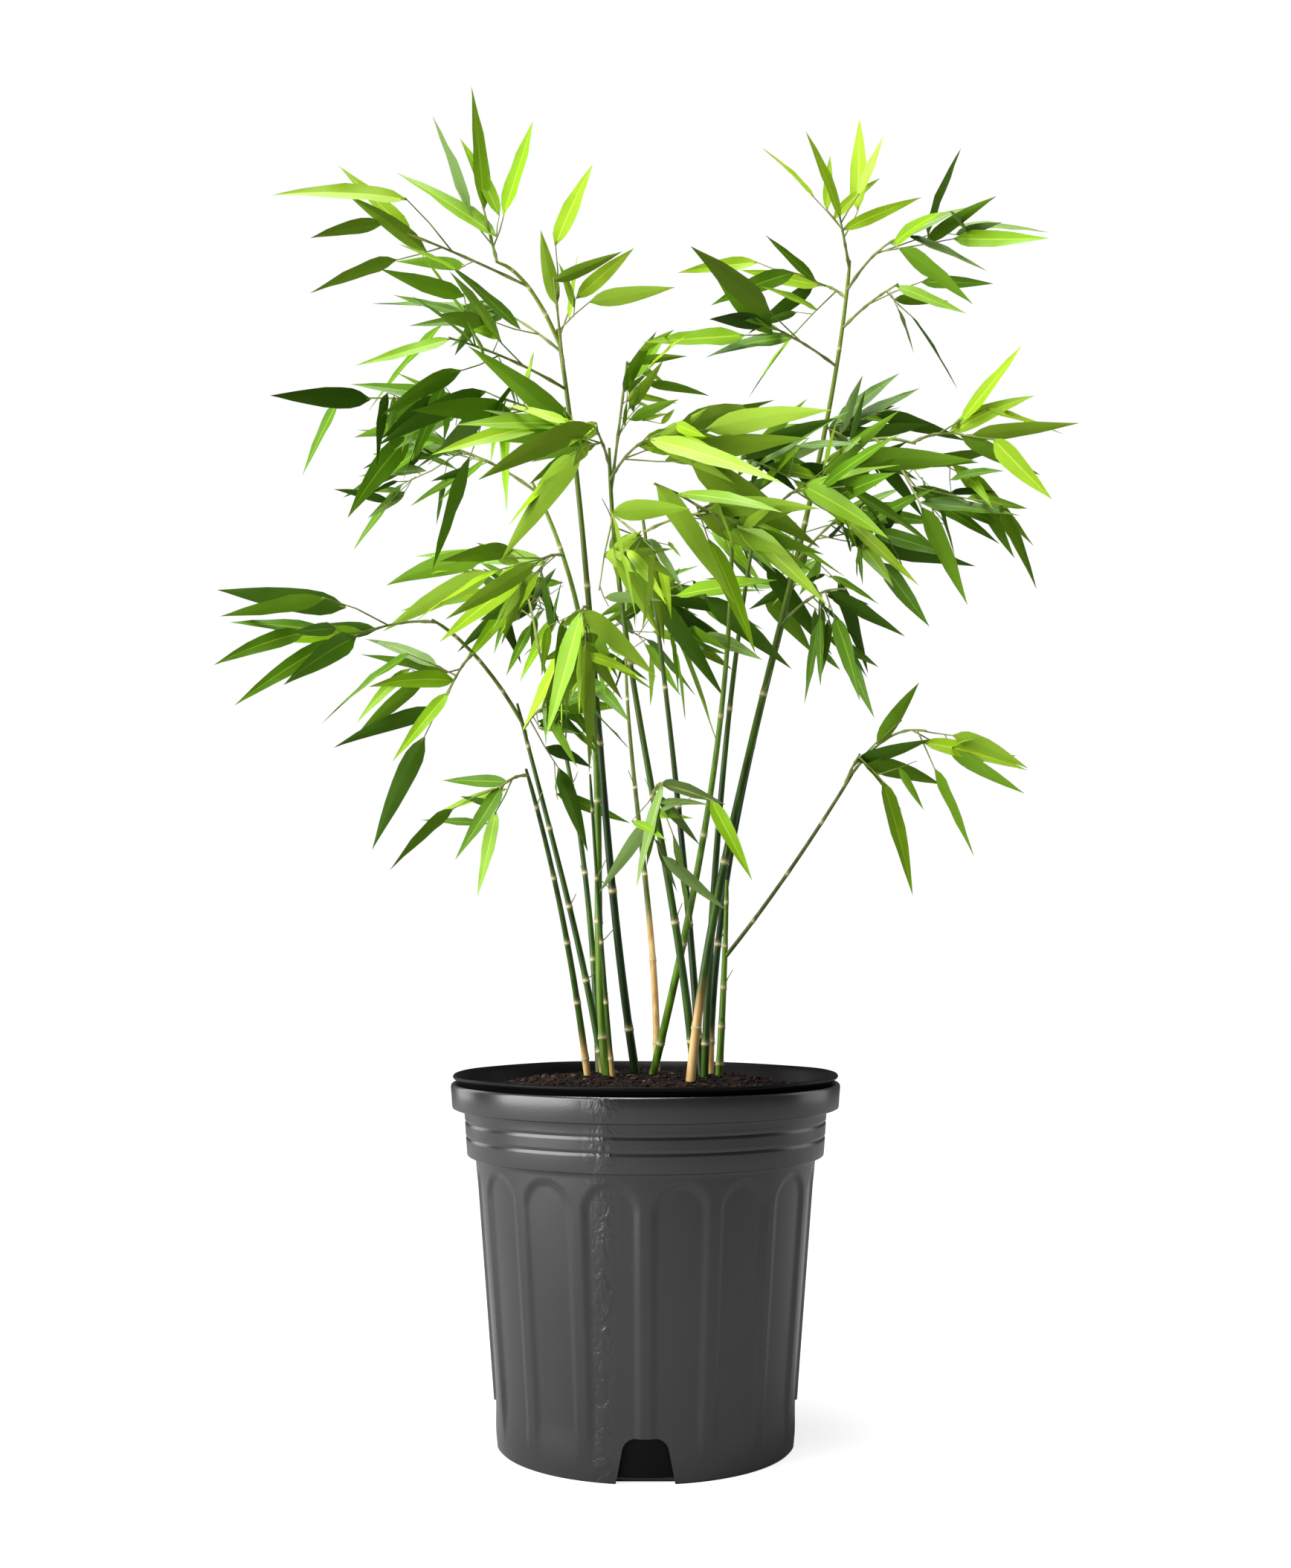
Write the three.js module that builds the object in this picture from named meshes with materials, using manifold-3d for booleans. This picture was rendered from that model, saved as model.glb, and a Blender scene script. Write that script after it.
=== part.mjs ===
// Clump-forming bamboo in a nursery container: a ribbed plastic pot with an inner liner, a plug of
// potting mix, fourteen canes, four bare boughs and the sprays of leaves they carry.
// Millimetres, +Z up. The origin is the middle of the pot's flat underside, and -Y is the front.
import * as THREE from 'three';
import { mergeVertices } from 'three/addons/utils/BufferGeometryUtils.js';
import Module from 'manifold-3d';

const wasm = await Module();
wasm.setup();

// ---- driving dimensions ----
const gap = 0.3; // clearance kept between neighbouring solids

const tolerance = 1e-4; // below this, points are one and a shared volume is none

const pot = {
  baseRadius: 113.5, // outside, at the ground
  shoulderRadius: 131.5, // top of the tapered, panelled wall
  shoulderZ: 217,
  collarRadii: [138, 140.5], // collar above the step, bottom and top
  bandZ: 253, // lower edge of the rim band
  bandRadii: [149.8, 151],
  height: 272,
  wall: 4.2, // from the ribs' outer face to the inner face
  collarWall: 2.2,
  rimWall: 3.5,
  floor: 3.5,
  step: 0.5, // rise of each ledge on the outside
  bandChamfer: 1.5,
};

const panel = {
  count: 16,
  halfWidth: 9.5, // degrees, at the outer edge
  slope: 2.8, // degrees taken by each sloping side
  depth: 2.5,
  fadeZ: [22, 36], // where the panel's foot runs out
  springZ: 190, // where the straight sides turn into the arch
  archRow: 0.7, // share of the arch's rise at its middle row
  narrowest: 0.3, // degrees, where the arch closes
};

const notch = { count: 4, width: 42, topWidth: 31, height: 32, corner: 8, inner: 104, outer: 125,
  below: 2 };

const liner = { wall: 1.8, throatRadius: 145, throatRise: 1, lipRadius: 149.5, lipZ: 277, topZ: 280,
  lipEdge: 0.8, lipRound: 2, lipWidth: 4, draft: 0.2, insideRise: 0.6 };

const roundSegments = 28; // of the liner and the potting mix

const soil = { topZ: 275, flatRadius: 95, edgeRadius: 138, edgeZ: 266 };

const cane = { sides: 5, swell: 1.25, waist: 0.95, ringGap: 2, rings: 4, firstRing: 0.06, lengthen: 1.06,
  lastRing: 0.97 };
const bough = { sides: 5, steps: 6, radii: [1.7, 1.3] };
const spray = {
  seed: 11,
  tries: 12, // draws for a twig or a leaf before it is left out
  stemRadii: [1.9, 1.6],
  stemSteps: 3,
  twigRadii: [0.85, 0.8],
  twigSpan: [0.25, 0.95], // where twigs leave the stem, as shares of its length
  twigLength: [0.55, 1.25], // shares of the row's length
  twigFan: 0.8, // share of the fan that twigs keep to
  twigStray: 0.5, // share of the fan that a twig may stray
  tipFrom: 0.6, // share of the stem from which its own end carries leaves
  tipMargin: 2.5,
  spacing: 24, // between leaves on a twig
  lowestRoot: 0.3, // share of a twig below which no leaf starts
  stemMarks: 12,
  sampleStep: 8,
  ownShare: 0.2,
  ownRoom: 0.75,
};
const leafShape = {
  lengths: [0.72, 1.12], // shares of the row's length
  widths: [0.15, 0.21], // shares of the leaf's own length, as are sags and curl
  sags: [0.02, 0.12],
  curl: 0.16,
  tilt: 100, // degrees, the range a leaf may be turned about its length
  placeSpan: [0.1, 0.9],
  widest: 0.3,
  rootWidth: 0.5,
  rootKeel: 0.3,
  keel: 0.012,
  keelBase: 0.35,
};

const colours = {
  pot: 0x3b3e40,
  liner: 0x151516,
  soil: 0x241a14,
  cane: 0x3f6a1f,
  dryCane: 0xb98a4e,
  bough: 0x5b7a2c,
  leaf: 0x5f9a22,
};

// ---- the limbs ----
// Canes run from a flat foot on the potting mix to their tips. lean is how far a cane moves in X and Y
// for each millimetre it rises, at its foot and at its tip, and radii are those of the two ends.
const canes = [
  { name: 'outer_left', foot: [-46, 22], tip: [-90, -70, 510], lean: [[-0.12, -0.2], [-0.28, -0.5]],
    radii: [2.9, 1.5] },
  { name: 'left', foot: [-34, 46], tip: [-105, 40, 575], lean: [[-0.16, 0], [-0.26, 0]],
    radii: [3.1, 1.4] },
  { name: 'left_back', foot: [-38, 62], tip: [-95, 150, 640], lean: [[-0.04, 0.2], [-0.32, 0.25]],
    radii: [3.0, 1.2] },
  { name: 'left_thick', foot: [-31, 26], tip: [-95, 60, 765], lean: [[-0.12, 0.05], [-0.5, 0.1]],
    radii: [3.7, 1.5] },
  { name: 'left_thin', foot: [-26, 12], tip: [-43, -30, 510], lean: [[-0.09, -0.15], [-0.06, -0.2]],
    radii: [2.0, 1.1] },
  { name: 'tall_left', foot: [-8, 50], tip: [-70, -30, 865], lean: [[-0.16, -0.13], [-0.16, -0.13]],
    radii: [3.5, 1.6] },
  { name: 'dry', foot: [9, 78], tip: [-18, 190, 640], lean: [[0.02, 0.3], [-0.02, 0.3]],
    radii: [3.1, 1.2], dry: true },
  { name: 'bright', foot: [6, 34], tip: [64, -110, 695], lean: [[0.24, -0.35], [-0.02, -0.35]],
    radii: [3.3, 1.4] },
  { name: 'middle', foot: [38, -16], tip: [-28, -60, 760], lean: [[-0.08, -0.1], [-0.02, -0.1]],
    radii: [3.4, 1.4] },
  { name: 'middle_back', foot: [44, 26], tip: [-4, 120, 760], lean: [[-0.06, 0.2], [-0.14, 0.2]],
    radii: [3.2, 1.3] },
  { name: 'tall_right', foot: [34, -42], tip: [170, 30, 945], lean: [[0.1, 0.1], [0.1, 0.1]],
    radii: [3.7, 1.4] },
  { name: 'right_back', foot: [52, 44], tip: [130, 160, 690], lean: [[0.02, 0.25], [0.28, 0.3]],
    radii: [3.1, 1.3] },
  { name: 'right', foot: [46, 4], tip: [87, -40, 710], lean: [[0.04, -0.1], [0.18, -0.1]],
    radii: [3.2, 1.4] },
  { name: 'outer_right', foot: [58, 16], tip: [65, 20, 430], lean: [[0.06, 0.03], [0.02, 0.03]],
    radii: [3.1, 1.6] },
];

// Bare boughs and sprays leave a limb at a share of its height. heading is in degrees from +X towards
// +Y, rise in degrees above the level, reach is the length, and arch lifts the middle.
const boughs = [
  { name: 'top_left', on: 'tall_left', at: 0.98, heading: 210, rise: 45, reach: 80, arch: 18 },
  { name: 'far_left', on: 'left', at: 0.95, heading: 220, rise: 40, reach: 115, arch: 14 },
  { name: 'low_right', on: 'outer_right', at: 0.6, heading: -25, rise: 53, reach: 185, arch: -7 },
  { name: 'right_arm', on: 'tall_right', at: 0.73, heading: -30, rise: 5, reach: 85, arch: 16 },
];

// twigs is the number beside the stem and twig their length; leaves have the length leaf, and stand
// within fan degrees of aim above the level, strayed sideways by up to swing. They face the heading
// unless facing says otherwise.
const sprays = [
  { name: 'tip_left', on: 'top_left', at: 0.98, heading: 180, rise: 76, reach: 46, arch: 0,
    twigs: 2, twig: 36, leaves: 4, leaf: 98, aim: 104, fan: 44, swing: 20, facing: 0 },
  { name: 'far_left_top', on: 'top_left', at: 0.5, heading: 205, rise: 14, reach: 125, arch: 4,
    twigs: 2, twig: 48, leaves: 5, leaf: 92, aim: 2, fan: 44, swing: 30 },
  { name: 'upper_left_a', on: 'tall_left', at: 0.94, heading: -100, rise: 60, reach: 75, arch: 0,
    twigs: 3, twig: 40, leaves: 6, leaf: 78, aim: 55, fan: 56, swing: 40, facing: 0 },
  { name: 'upper_left_b', on: 'tall_left', at: 0.97, heading: 165, rise: 35, reach: 80, arch: 8,
    twigs: 3, twig: 52, leaves: 7, leaf: 82, aim: 2, fan: 42, swing: 45 },
  { name: 'upper_left_c', on: 'tall_left', at: 0.92, heading: 225, rise: 6, reach: 120, arch: 8,
    twigs: 3, twig: 66, leaves: 8, leaf: 90, aim: 5, fan: 40, swing: 40 },
  { name: 'left_mid_a', on: 'tall_left', at: 0.88, heading: 197, rise: 0, reach: 185, arch: 12,
    twigs: 3, twig: 62, leaves: 9, leaf: 88, aim: -25, fan: 55, swing: 45 },
  { name: 'left_mid_b', on: 'tall_left', at: 0.86, heading: 235, rise: 5, reach: 85, arch: 6,
    twigs: 3, twig: 55, leaves: 7, leaf: 88, aim: -18, fan: 52, swing: 50 },
  { name: 'left_mid_c', on: 'left_thick', at: 0.98, heading: 178, rise: 25, reach: 105, arch: 16,
    twigs: 3, twig: 62, leaves: 8, leaf: 84, aim: -4, fan: 42, swing: 45 },
  { name: 'left_broad', on: 'left_thick', at: 0.87, heading: 265, rise: -15, reach: 160, arch: 6,
    twigs: 3, twig: 50, leaves: 5, leaf: 98, aim: -20, fan: 42, swing: 40, facing: 180 },
  { name: 'far_left', on: 'far_left', at: 0.95, heading: 210, rise: -15, reach: 72, arch: 10,
    twigs: 3, twig: 72, leaves: 8, leaf: 96, aim: -10, fan: 22, swing: 32 },
  { name: 'low_left_a', on: 'far_left', at: 0.55, heading: 265, rise: -25, reach: 110, arch: 8,
    twigs: 3, twig: 52, leaves: 8, leaf: 84, aim: -18, fan: 50, swing: 40, facing: 180 },
  { name: 'low_left_b', on: 'outer_left', at: 0.98, heading: 235, rise: -20, reach: 35, arch: 6,
    twigs: 2, twig: 45, leaves: 5, leaf: 62, aim: -40, fan: 50, swing: 40, facing: 180 },
  { name: 'inner_left', on: 'left', at: 0.93, heading: -70, rise: 10, reach: 60, arch: 6,
    twigs: 3, twig: 48, leaves: 8, leaf: 70, aim: -15, fan: 60, swing: 60, facing: 0 },
  { name: 'front_left', on: 'tall_left', at: 0.62, heading: -90, rise: -10, reach: 190, arch: 10,
    twigs: 2, twig: 34, leaves: 6, leaf: 88, aim: -62, fan: 34, swing: 110 },
  { name: 'front_mid', on: 'middle', at: 0.85, heading: -90, rise: -5, reach: 160, arch: 8,
    twigs: 3, twig: 50, leaves: 6, leaf: 82, aim: -40, fan: 50, swing: 110 },
  { name: 'front_top', on: 'middle', at: 0.97, heading: 265, rise: 0, reach: 110, arch: 8,
    twigs: 3, twig: 50, leaves: 7, leaf: 96, aim: -4, fan: 40, swing: 60, facing: 180 },
  { name: 'front_right', on: 'middle', at: 0.95, heading: -75, rise: 0, reach: 115, arch: 10,
    twigs: 3, twig: 55, leaves: 8, leaf: 104, aim: 3, fan: 34, swing: 45, facing: 0 },
  { name: 'front_low_right', on: 'bright', at: 0.97, heading: 225, rise: 15, reach: 85, arch: 8,
    twigs: 3, twig: 52, leaves: 8, leaf: 98, aim: -26, fan: 42, swing: 45, facing: 0 },
  { name: 'centre_right_a', on: 'middle_back', at: 0.95, heading: -50, rise: 0, reach: 90, arch: 8,
    twigs: 3, twig: 55, leaves: 8, leaf: 88, aim: -12, fan: 42, swing: 60, facing: 0 },
  { name: 'centre_right_b', on: 'bright', at: 0.99, heading: -50, rise: 75, reach: 60, arch: 8,
    twigs: 3, twig: 55, leaves: 8, leaf: 88, aim: 0, fan: 40, swing: 60, facing: 0 },
  { name: 'right_a', on: 'right', at: 0.97, heading: -75, rise: 5, reach: 115, arch: 10,
    twigs: 3, twig: 55, leaves: 8, leaf: 88, aim: -6, fan: 42, swing: 50, facing: -20 },
  { name: 'right_b', on: 'tall_right', at: 0.77, heading: 80, rise: 20, reach: 75, arch: 8,
    twigs: 3, twig: 50, leaves: 8, leaf: 82, aim: 0, fan: 48, swing: 50, facing: 0 },
  { name: 'right_c', on: 'tall_right', at: 0.61, heading: -40, rise: 30, reach: 80, arch: 12,
    twigs: 3, twig: 50, leaves: 8, leaf: 88, aim: -18, fan: 42, swing: 45 },
  { name: 'far_right', on: 'right_arm', at: 0.97, heading: -30, rise: 0, reach: 42, arch: 8,
    twigs: 2, twig: 48, leaves: 6, leaf: 80, aim: -4, fan: 50, swing: 32 },
  { name: 'right_d', on: 'right_arm', at: 0.6, heading: -70, rise: -45, reach: 105, arch: 14,
    twigs: 3, twig: 58, leaves: 8, leaf: 84, aim: -32, fan: 50, swing: 42, facing: 0 },
  { name: 'right_low', on: 'tall_right', at: 0.53, heading: -50, rise: 15, reach: 75, arch: 18,
    twigs: 3, twig: 38, leaves: 6, leaf: 80, aim: -65, fan: 46, swing: 35 },
  { name: 'low_right_a', on: 'low_right', at: 0.91, heading: -70, rise: 40, reach: 35, arch: 4,
    twigs: 2, twig: 44, leaves: 6, leaf: 74, aim: -14, fan: 72, swing: 30, facing: 0 },
  { name: 'low_right_b', on: 'low_right', at: 0.98, heading: -30, rise: 25, reach: 66, arch: 22,
    twigs: 3, twig: 46, leaves: 5, leaf: 84, aim: -34, fan: 36, swing: 26 },
  { name: 'tip_right', on: 'tall_right', at: 0.99, heading: 250, rise: 45, reach: 45, arch: 2,
    twigs: 3, twig: 44, leaves: 6, leaf: 78, aim: 96, fan: 62, swing: 30, facing: 180 },
  { name: 'top_right', on: 'tall_right', at: 0.96, heading: -50, rise: 20, reach: 75, arch: 20,
    twigs: 3, twig: 58, leaves: 8, leaf: 86, aim: -2, fan: 42, swing: 40 },
  { name: 'top_right_left', on: 'tall_right', at: 0.95, heading: 125, rise: 30, reach: 50, arch: 8,
    twigs: 3, twig: 48, leaves: 7, leaf: 84, aim: -6, fan: 42, swing: 45, facing: 180 },
  { name: 'upper_right_left', on: 'tall_right', at: 0.86, heading: 215, rise: 15, reach: 80, arch: 6,
    twigs: 2, twig: 44, leaves: 4, leaf: 106, aim: 6, fan: 34, swing: 25 },
  { name: 'upper_right', on: 'tall_right', at: 0.91, heading: -60, rise: 10, reach: 75, arch: 6,
    twigs: 2, twig: 40, leaves: 4, leaf: 64, aim: -18, fan: 40, swing: 40, facing: 0 },
  { name: 'centre_thin', on: 'middle', at: 0.93, heading: 50, rise: 80, reach: 110, arch: 0,
    twigs: 3, twig: 44, leaves: 7, leaf: 62, aim: 40, fan: 50, swing: 60, facing: 0 },
  { name: 'low_centre', on: 'middle', at: 0.45, heading: -85, rise: 0, reach: 85, arch: 8,
    twigs: 3, twig: 48, leaves: 6, leaf: 74, aim: -70, fan: 70, swing: 50, facing: 0 },
  { name: 'centre_low_right', on: 'middle_back', at: 0.82, heading: -90, rise: -10, reach: 165,
    arch: 8, twigs: 3, twig: 52, leaves: 8, leaf: 92, aim: -24, fan: 46, swing: 50, facing: 0 },
  { name: 'back_left', on: 'left_back', at: 0.99, heading: 120, rise: 65, reach: 95, arch: 10,
    twigs: 3, twig: 62, leaves: 8, leaf: 84, aim: -6, fan: 60, swing: 90 },
  { name: 'back_centre', on: 'dry', at: 0.98, heading: 90, rise: 65, reach: 105, arch: 10,
    twigs: 3, twig: 62, leaves: 8, leaf: 84, aim: -10, fan: 50, swing: 90 },
  { name: 'back_right', on: 'right_back', at: 0.99, heading: 80, rise: 55, reach: 100, arch: 10,
    twigs: 3, twig: 62, leaves: 8, leaf: 84, aim: -10, fan: 50, swing: 90 },
];

// ---- helpers ----
const up = new THREE.Vector3(0, 0, 1);
const vec = (x, y, z) => new THREE.Vector3(x, y, z);
const along = (base, direction, distance) => base.clone().addScaledVector(direction, distance);
const degrees = THREE.MathUtils.degToRad;
const mix = THREE.MathUtils.lerp;

// A repeatable sequence of numbers from 0 to 1.
function makeDice(seed) {
  let state = seed >>> 0;
  return () => {
    state = (state + 0x6d2b79f5) >>> 0;
    let t = state;
    t = Math.imul(t ^ (t >>> 15), t | 1);
    t ^= t + Math.imul(t ^ (t >>> 7), t | 61);
    return ((t ^ (t >>> 14)) >>> 0) / 4294967296;
  };
}

function geometryOf(points, faces) {
  const geometry = new THREE.BufferGeometry();
  geometry.setAttribute('position', new THREE.Float32BufferAttribute(points, 3));
  geometry.setIndex(faces);
  return geometry;
}

// Faces of a flat cap: one triangle across the middle and a fan over each of the three arcs left.
function capFaces(sides) {
  const corners = [0, Math.round(sides / 3), Math.round(2 * sides / 3), sides];
  const faces = [corners.slice(0, 3)];
  for (let arc = 0; arc < 3; arc++) {
    for (let i = corners[arc] + 1; i < corners[arc + 1]; i++) {
      faces.push([corners[arc], i, (i + 1) % sides]);
    }
  }
  return faces;
}

// Joins closed rings of equal size into one closed body, with a flat cap on each end.
function loft(rings) {
  const sides = rings[0].length;
  const points = rings.flat().flatMap((p) => [p.x, p.y, p.z]);
  const faces = [];
  for (let row = 0; row + 1 < rings.length; row++) {
    for (let i = 0; i < sides; i++) {
      const a = row * sides + i;
      const b = row * sides + (i + 1) % sides;
      faces.push(a, b, b + sides, a, b + sides, a + sides);
    }
  }
  const last = (rings.length - 1) * sides;
  for (const [a, b, c] of capFaces(sides)) {
    faces.push(a, c, b, last + a, last + b, last + c);
  }
  return geometryOf(points, faces);
}

// The level direction square to an axis, or +X where the axis is upright.
function levelSideOf(axis) {
  const length = Math.hypot(axis.x, axis.y);
  return length < 1e-3 ? vec(1, 0, 0) : vec(axis.y / length, -axis.x / length, 0);
}

// A ring of points round a centre, square to an axis, starting from a side direction.
function ringAt(centre, axis, radius, sides, side = levelSideOf(axis)) {
  const lift = axis.clone().cross(side);
  return Array.from({ length: sides }, (_, i) => {
    const angle = (i / sides) * 2 * Math.PI;
    return along(along(centre, side, radius * Math.cos(angle)), lift, radius * Math.sin(angle));
  });
}

function toManifold(geometry) {
  const bare = geometry.clone();
  bare.deleteAttribute('normal');
  bare.deleteAttribute('uv');
  const merged = mergeVertices(bare, tolerance);
  return new wasm.Manifold(new wasm.Mesh({
    numProp: 3,
    vertProperties: new Float32Array(merged.attributes.position.array),
    triVerts: new Uint32Array(merged.index.array),
  }));
}

function fromManifold(solid) {
  const mesh = solid.getMesh();
  return geometryOf(Array.from(mesh.vertProperties), Array.from(mesh.triVerts));
}

const group = new THREE.Group();

function addMesh(name, geometry, colour, roughness) {
  geometry.computeVertexNormals();
  const material = new THREE.MeshStandardMaterial({ color: colour, roughness, metalness: 0 });
  const mesh = new THREE.Mesh(geometry, material);
  mesh.name = name;
  group.add(mesh);
}

// ---- pot ----
const wallRadiusAt = (z) => mix(pot.baseRadius, pot.shoulderRadius, z / pot.shoulderZ);

// Half-widths of a panel at height z, in degrees: outer edge and flat floor.
function panelWidths(z) {
  const outer = panel.halfWidth;
  const inner = outer - panel.slope;
  const rise = (z - panel.springZ) / (degrees(1) * wallRadiusAt(z));
  const narrow = panel.narrowest;
  if (rise <= 0) return [outer, inner, 1];
  const outerNow = Math.sqrt(Math.max(outer ** 2 - rise ** 2, 0));
  const innerNow = Math.sqrt(Math.max(inner ** 2 - rise ** 2, 0));
  return [Math.max(outerNow, narrow), Math.max(innerNow, narrow / 2), innerNow > narrow ? 1 : 0];
}

function pottedRow(z, depthShare) {
  const [outer, inner, open] = panelWidths(z);
  const step = 360 / panel.count;
  const ribRadius = wallRadiusAt(z);
  const floorRadius = ribRadius - panel.depth * depthShare * open;
  const row = [];
  for (let i = 0; i < panel.count; i++) {
    const middle = i * step + step / 2 - 90;
    const columns = [[-step / 2, ribRadius], [-outer, ribRadius], [-inner, floorRadius],
      [inner, floorRadius], [outer, ribRadius]];
    for (const [offset, radius] of columns) {
      const angle = degrees(middle + offset);
      row.push(vec(radius * Math.cos(angle), radius * Math.sin(angle), z));
    }
  }
  return row;
}

function plainRow(radius, z, sides = panel.count * 5) {
  return Array.from({ length: sides }, (_, i) => {
    const angle = degrees(-90) + (i / sides) * 2 * Math.PI;
    return vec(radius * Math.cos(angle), radius * Math.sin(angle), z);
  });
}

// One slot at the foot of the wall, leaning in to its rounded upper corners, on the +X side.
function notchTool() {
  const half = notch.width / 2;
  const bend = notch.topWidth / 2 - notch.corner; // middle of a corner's arc, from the slot's own middle
  const spring = notch.height - notch.corner;
  const outline = new THREE.Shape();
  outline.moveTo(-half, -notch.below);
  outline.lineTo(half, -notch.below);
  outline.lineTo(half, 0);
  outline.absarc(bend, spring, notch.corner, 0, Math.PI / 2);
  outline.lineTo(-bend, notch.height);
  outline.absarc(-bend, spring, notch.corner, Math.PI / 2, Math.PI);
  outline.lineTo(-half, 0);
  const tool = new THREE.ExtrudeGeometry(outline, {
    depth: notch.outer - notch.inner, bevelEnabled: false, curveSegments: 3,
  });
  return tool.rotateX(Math.PI / 2).rotateZ(Math.PI / 2).translate(notch.inner, 0, 0);
}

function buildPot() {
  const archRise = degrees(panel.halfWidth) * wallRadiusAt(panel.springZ);
  const innerRise = archRise * (1 - panel.slope / panel.halfWidth);
  const rows = [pottedRow(0, 0), pottedRow(panel.fadeZ[0], 0), pottedRow(panel.fadeZ[1], 1),
    pottedRow(panel.springZ, 1)];
  for (const share of [panel.archRow, 1]) rows.push(pottedRow(panel.springZ + innerRise * share, 1));
  rows.push(pottedRow(panel.springZ + archRise, 0));
  const outside = [[pot.shoulderRadius, pot.shoulderZ],
    [pot.collarRadii[0], pot.shoulderZ + pot.step],
    [pot.collarRadii[1], pot.bandZ],
    [pot.bandRadii[0], pot.bandZ + pot.step],
    [pot.bandRadii[1], pot.height - pot.bandChamfer],
    [pot.bandRadii[1] - pot.bandChamfer, pot.height]];
  const inside = [[pot.bandRadii[1] - pot.rimWall, pot.height],
    [pot.collarRadii[1] - pot.collarWall, pot.bandZ - 2],
    [pot.shoulderRadius - pot.wall, pot.shoulderZ - 1],
    [wallRadiusAt(pot.floor) - pot.wall, pot.floor]];
  for (const [radius, z] of [...outside, ...inside]) rows.push(plainRow(radius, z));
  let solid = toManifold(loft(rows));
  for (let i = 0; i < notch.count; i++) {
    const turn = -Math.PI / 2 + (i / notch.count) * 2 * Math.PI;
    solid = solid.subtract(toManifold(notchTool().rotateZ(turn)));
  }
  return fromManifold(solid);
}

// ---- liner and soil ----
// The liner's outer face, from its floor to the turned-out lip, as [radius, height].
const linerFloorZ = pot.floor + gap;
const linerOutside = [
  [wallRadiusAt(pot.floor) - pot.wall - gap, linerFloorZ],
  [pot.shoulderRadius - pot.wall - gap, pot.shoulderZ - 1],
  [pot.collarRadii[1] - pot.collarWall - gap, pot.bandZ - 2],
  [liner.throatRadius, pot.height + liner.throatRise],
  [liner.lipRadius, liner.lipZ],
  [liner.lipRadius, liner.topZ - liner.lipEdge],
];
const linerInside = linerOutside.slice(0, 4).map(([radius, z], i) => (
  [radius - liner.wall - liner.draft, i === 0 ? z + liner.wall : z + liner.insideRise]));

function revolve(profile) {
  const points = profile.map(([radius, z]) => new THREE.Vector2(radius, z));
  return new THREE.LatheGeometry(points, roundSegments).rotateX(Math.PI / 2);
}

function buildLiner() {
  const lipInside = [[liner.lipRadius - liner.lipRound, liner.topZ],
    [liner.lipRadius - liner.lipWidth, liner.lipZ + liner.insideRise]];
  const inside = linerInside.slice().reverse();
  const profile = [[0, linerFloorZ], ...linerOutside, ...lipInside, ...inside,
    [0, linerFloorZ + liner.wall]];
  return revolve(profile);
}

function buildSoil() {
  const side = linerInside.slice(0, 3).map(([radius, z], i) => (
    [radius - gap, i === 0 ? z + gap : z]));
  const profile = [[0, side[0][1]], ...side, [soil.edgeRadius, soil.edgeZ],
    [soil.flatRadius, soil.topZ], [0, soil.topZ]];
  return revolve(profile);
}

// ---- canes and boughs ----
// A limb is a curve with a radius at each end; solid is its shape, and space is that shape with
// the clearance added, which cuts and tests use.
const limbs = new Map();

function limbRadius(limb, t) {
  return mix(limb.radii[0], limb.radii[1], t);
}

// Where along a cane its rings lie: internodes lengthen upwards.
function ringPlaces() {
  const places = [cane.firstRing];
  let internode = (1 - cane.firstRing) / (cane.rings + 1);
  while (places.at(-1) + internode < cane.lastRing) {
    places.push(places.at(-1) + internode);
    internode *= cane.lengthen;
  }
  return places;
}

function caneStations(limb, extra) {
  const length = limb.curve.getLength();
  const stations = [[0, 1]];
  for (const t of ringPlaces()) {
    stations.push([t, cane.swell], [t + cane.ringGap / length, cane.waist]);
  }
  stations.push([1, 1]);
  return stations.map(([t, share]) => {
    const centre = limb.curve.getPoint(t);
    const axis = t === 0 ? up : limb.curve.getTangent(t);
    const side = vec(1, 0, 0).projectOnPlane(axis).normalize(); // steady where a cane is upright
    return ringAt(centre, axis, limbRadius(limb, t) * share + extra, cane.sides, side);
  });
}

function boughStations(limb, extra) {
  return Array.from({ length: bough.steps }, (_, i) => {
    const t = i / (bough.steps - 1);
    return ringAt(limb.curve.getPoint(t), limb.curve.getTangent(t), limbRadius(limb, t) + extra,
      bough.sides);
  });
}

function buildCane(row) {
  const foot = vec(...row.foot, soil.topZ + gap);
  const tip = vec(...row.tip);
  const third = (tip.z - foot.z) / 3;
  const [low, high] = row.lean.map(([x, y]) => vec(x, y, 1).multiplyScalar(third));
  const curve = new THREE.CubicBezierCurve3(foot, foot.clone().add(low), tip.clone().sub(high), tip);
  const limb = { name: row.name, curve, radii: row.radii };
  limb.solid = toManifold(loft(caneStations(limb, 0)));
  limb.space = toManifold(loft(caneStations(limb, gap)));
  limbs.set(row.name, limb);
  addMesh(`cane_${row.name}`, fromManifold(limb.solid), row.dry ? colours.dryCane : colours.cane, 0.45);
}

function largestPiece(solid) {
  return solid.decompose().reduce((best, piece) => (piece.volume() > best.volume() ? piece : best));
}

// The level heading given in degrees from +X.
const headingOf = (angle) => vec(Math.cos(degrees(angle)), Math.sin(degrees(angle)), 0);

// A direction from a level heading, raised by an elevation and swung sideways, both in radians.
function toward(heading, elevation, swing) {
  const flat = heading.clone().applyAxisAngle(up, swing);
  return flat.multiplyScalar(Math.cos(elevation)).addScaledVector(up, Math.sin(elevation));
}

const reachOf = (row) => toward(headingOf(row.heading), degrees(row.rise), 0).multiplyScalar(row.reach);

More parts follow.
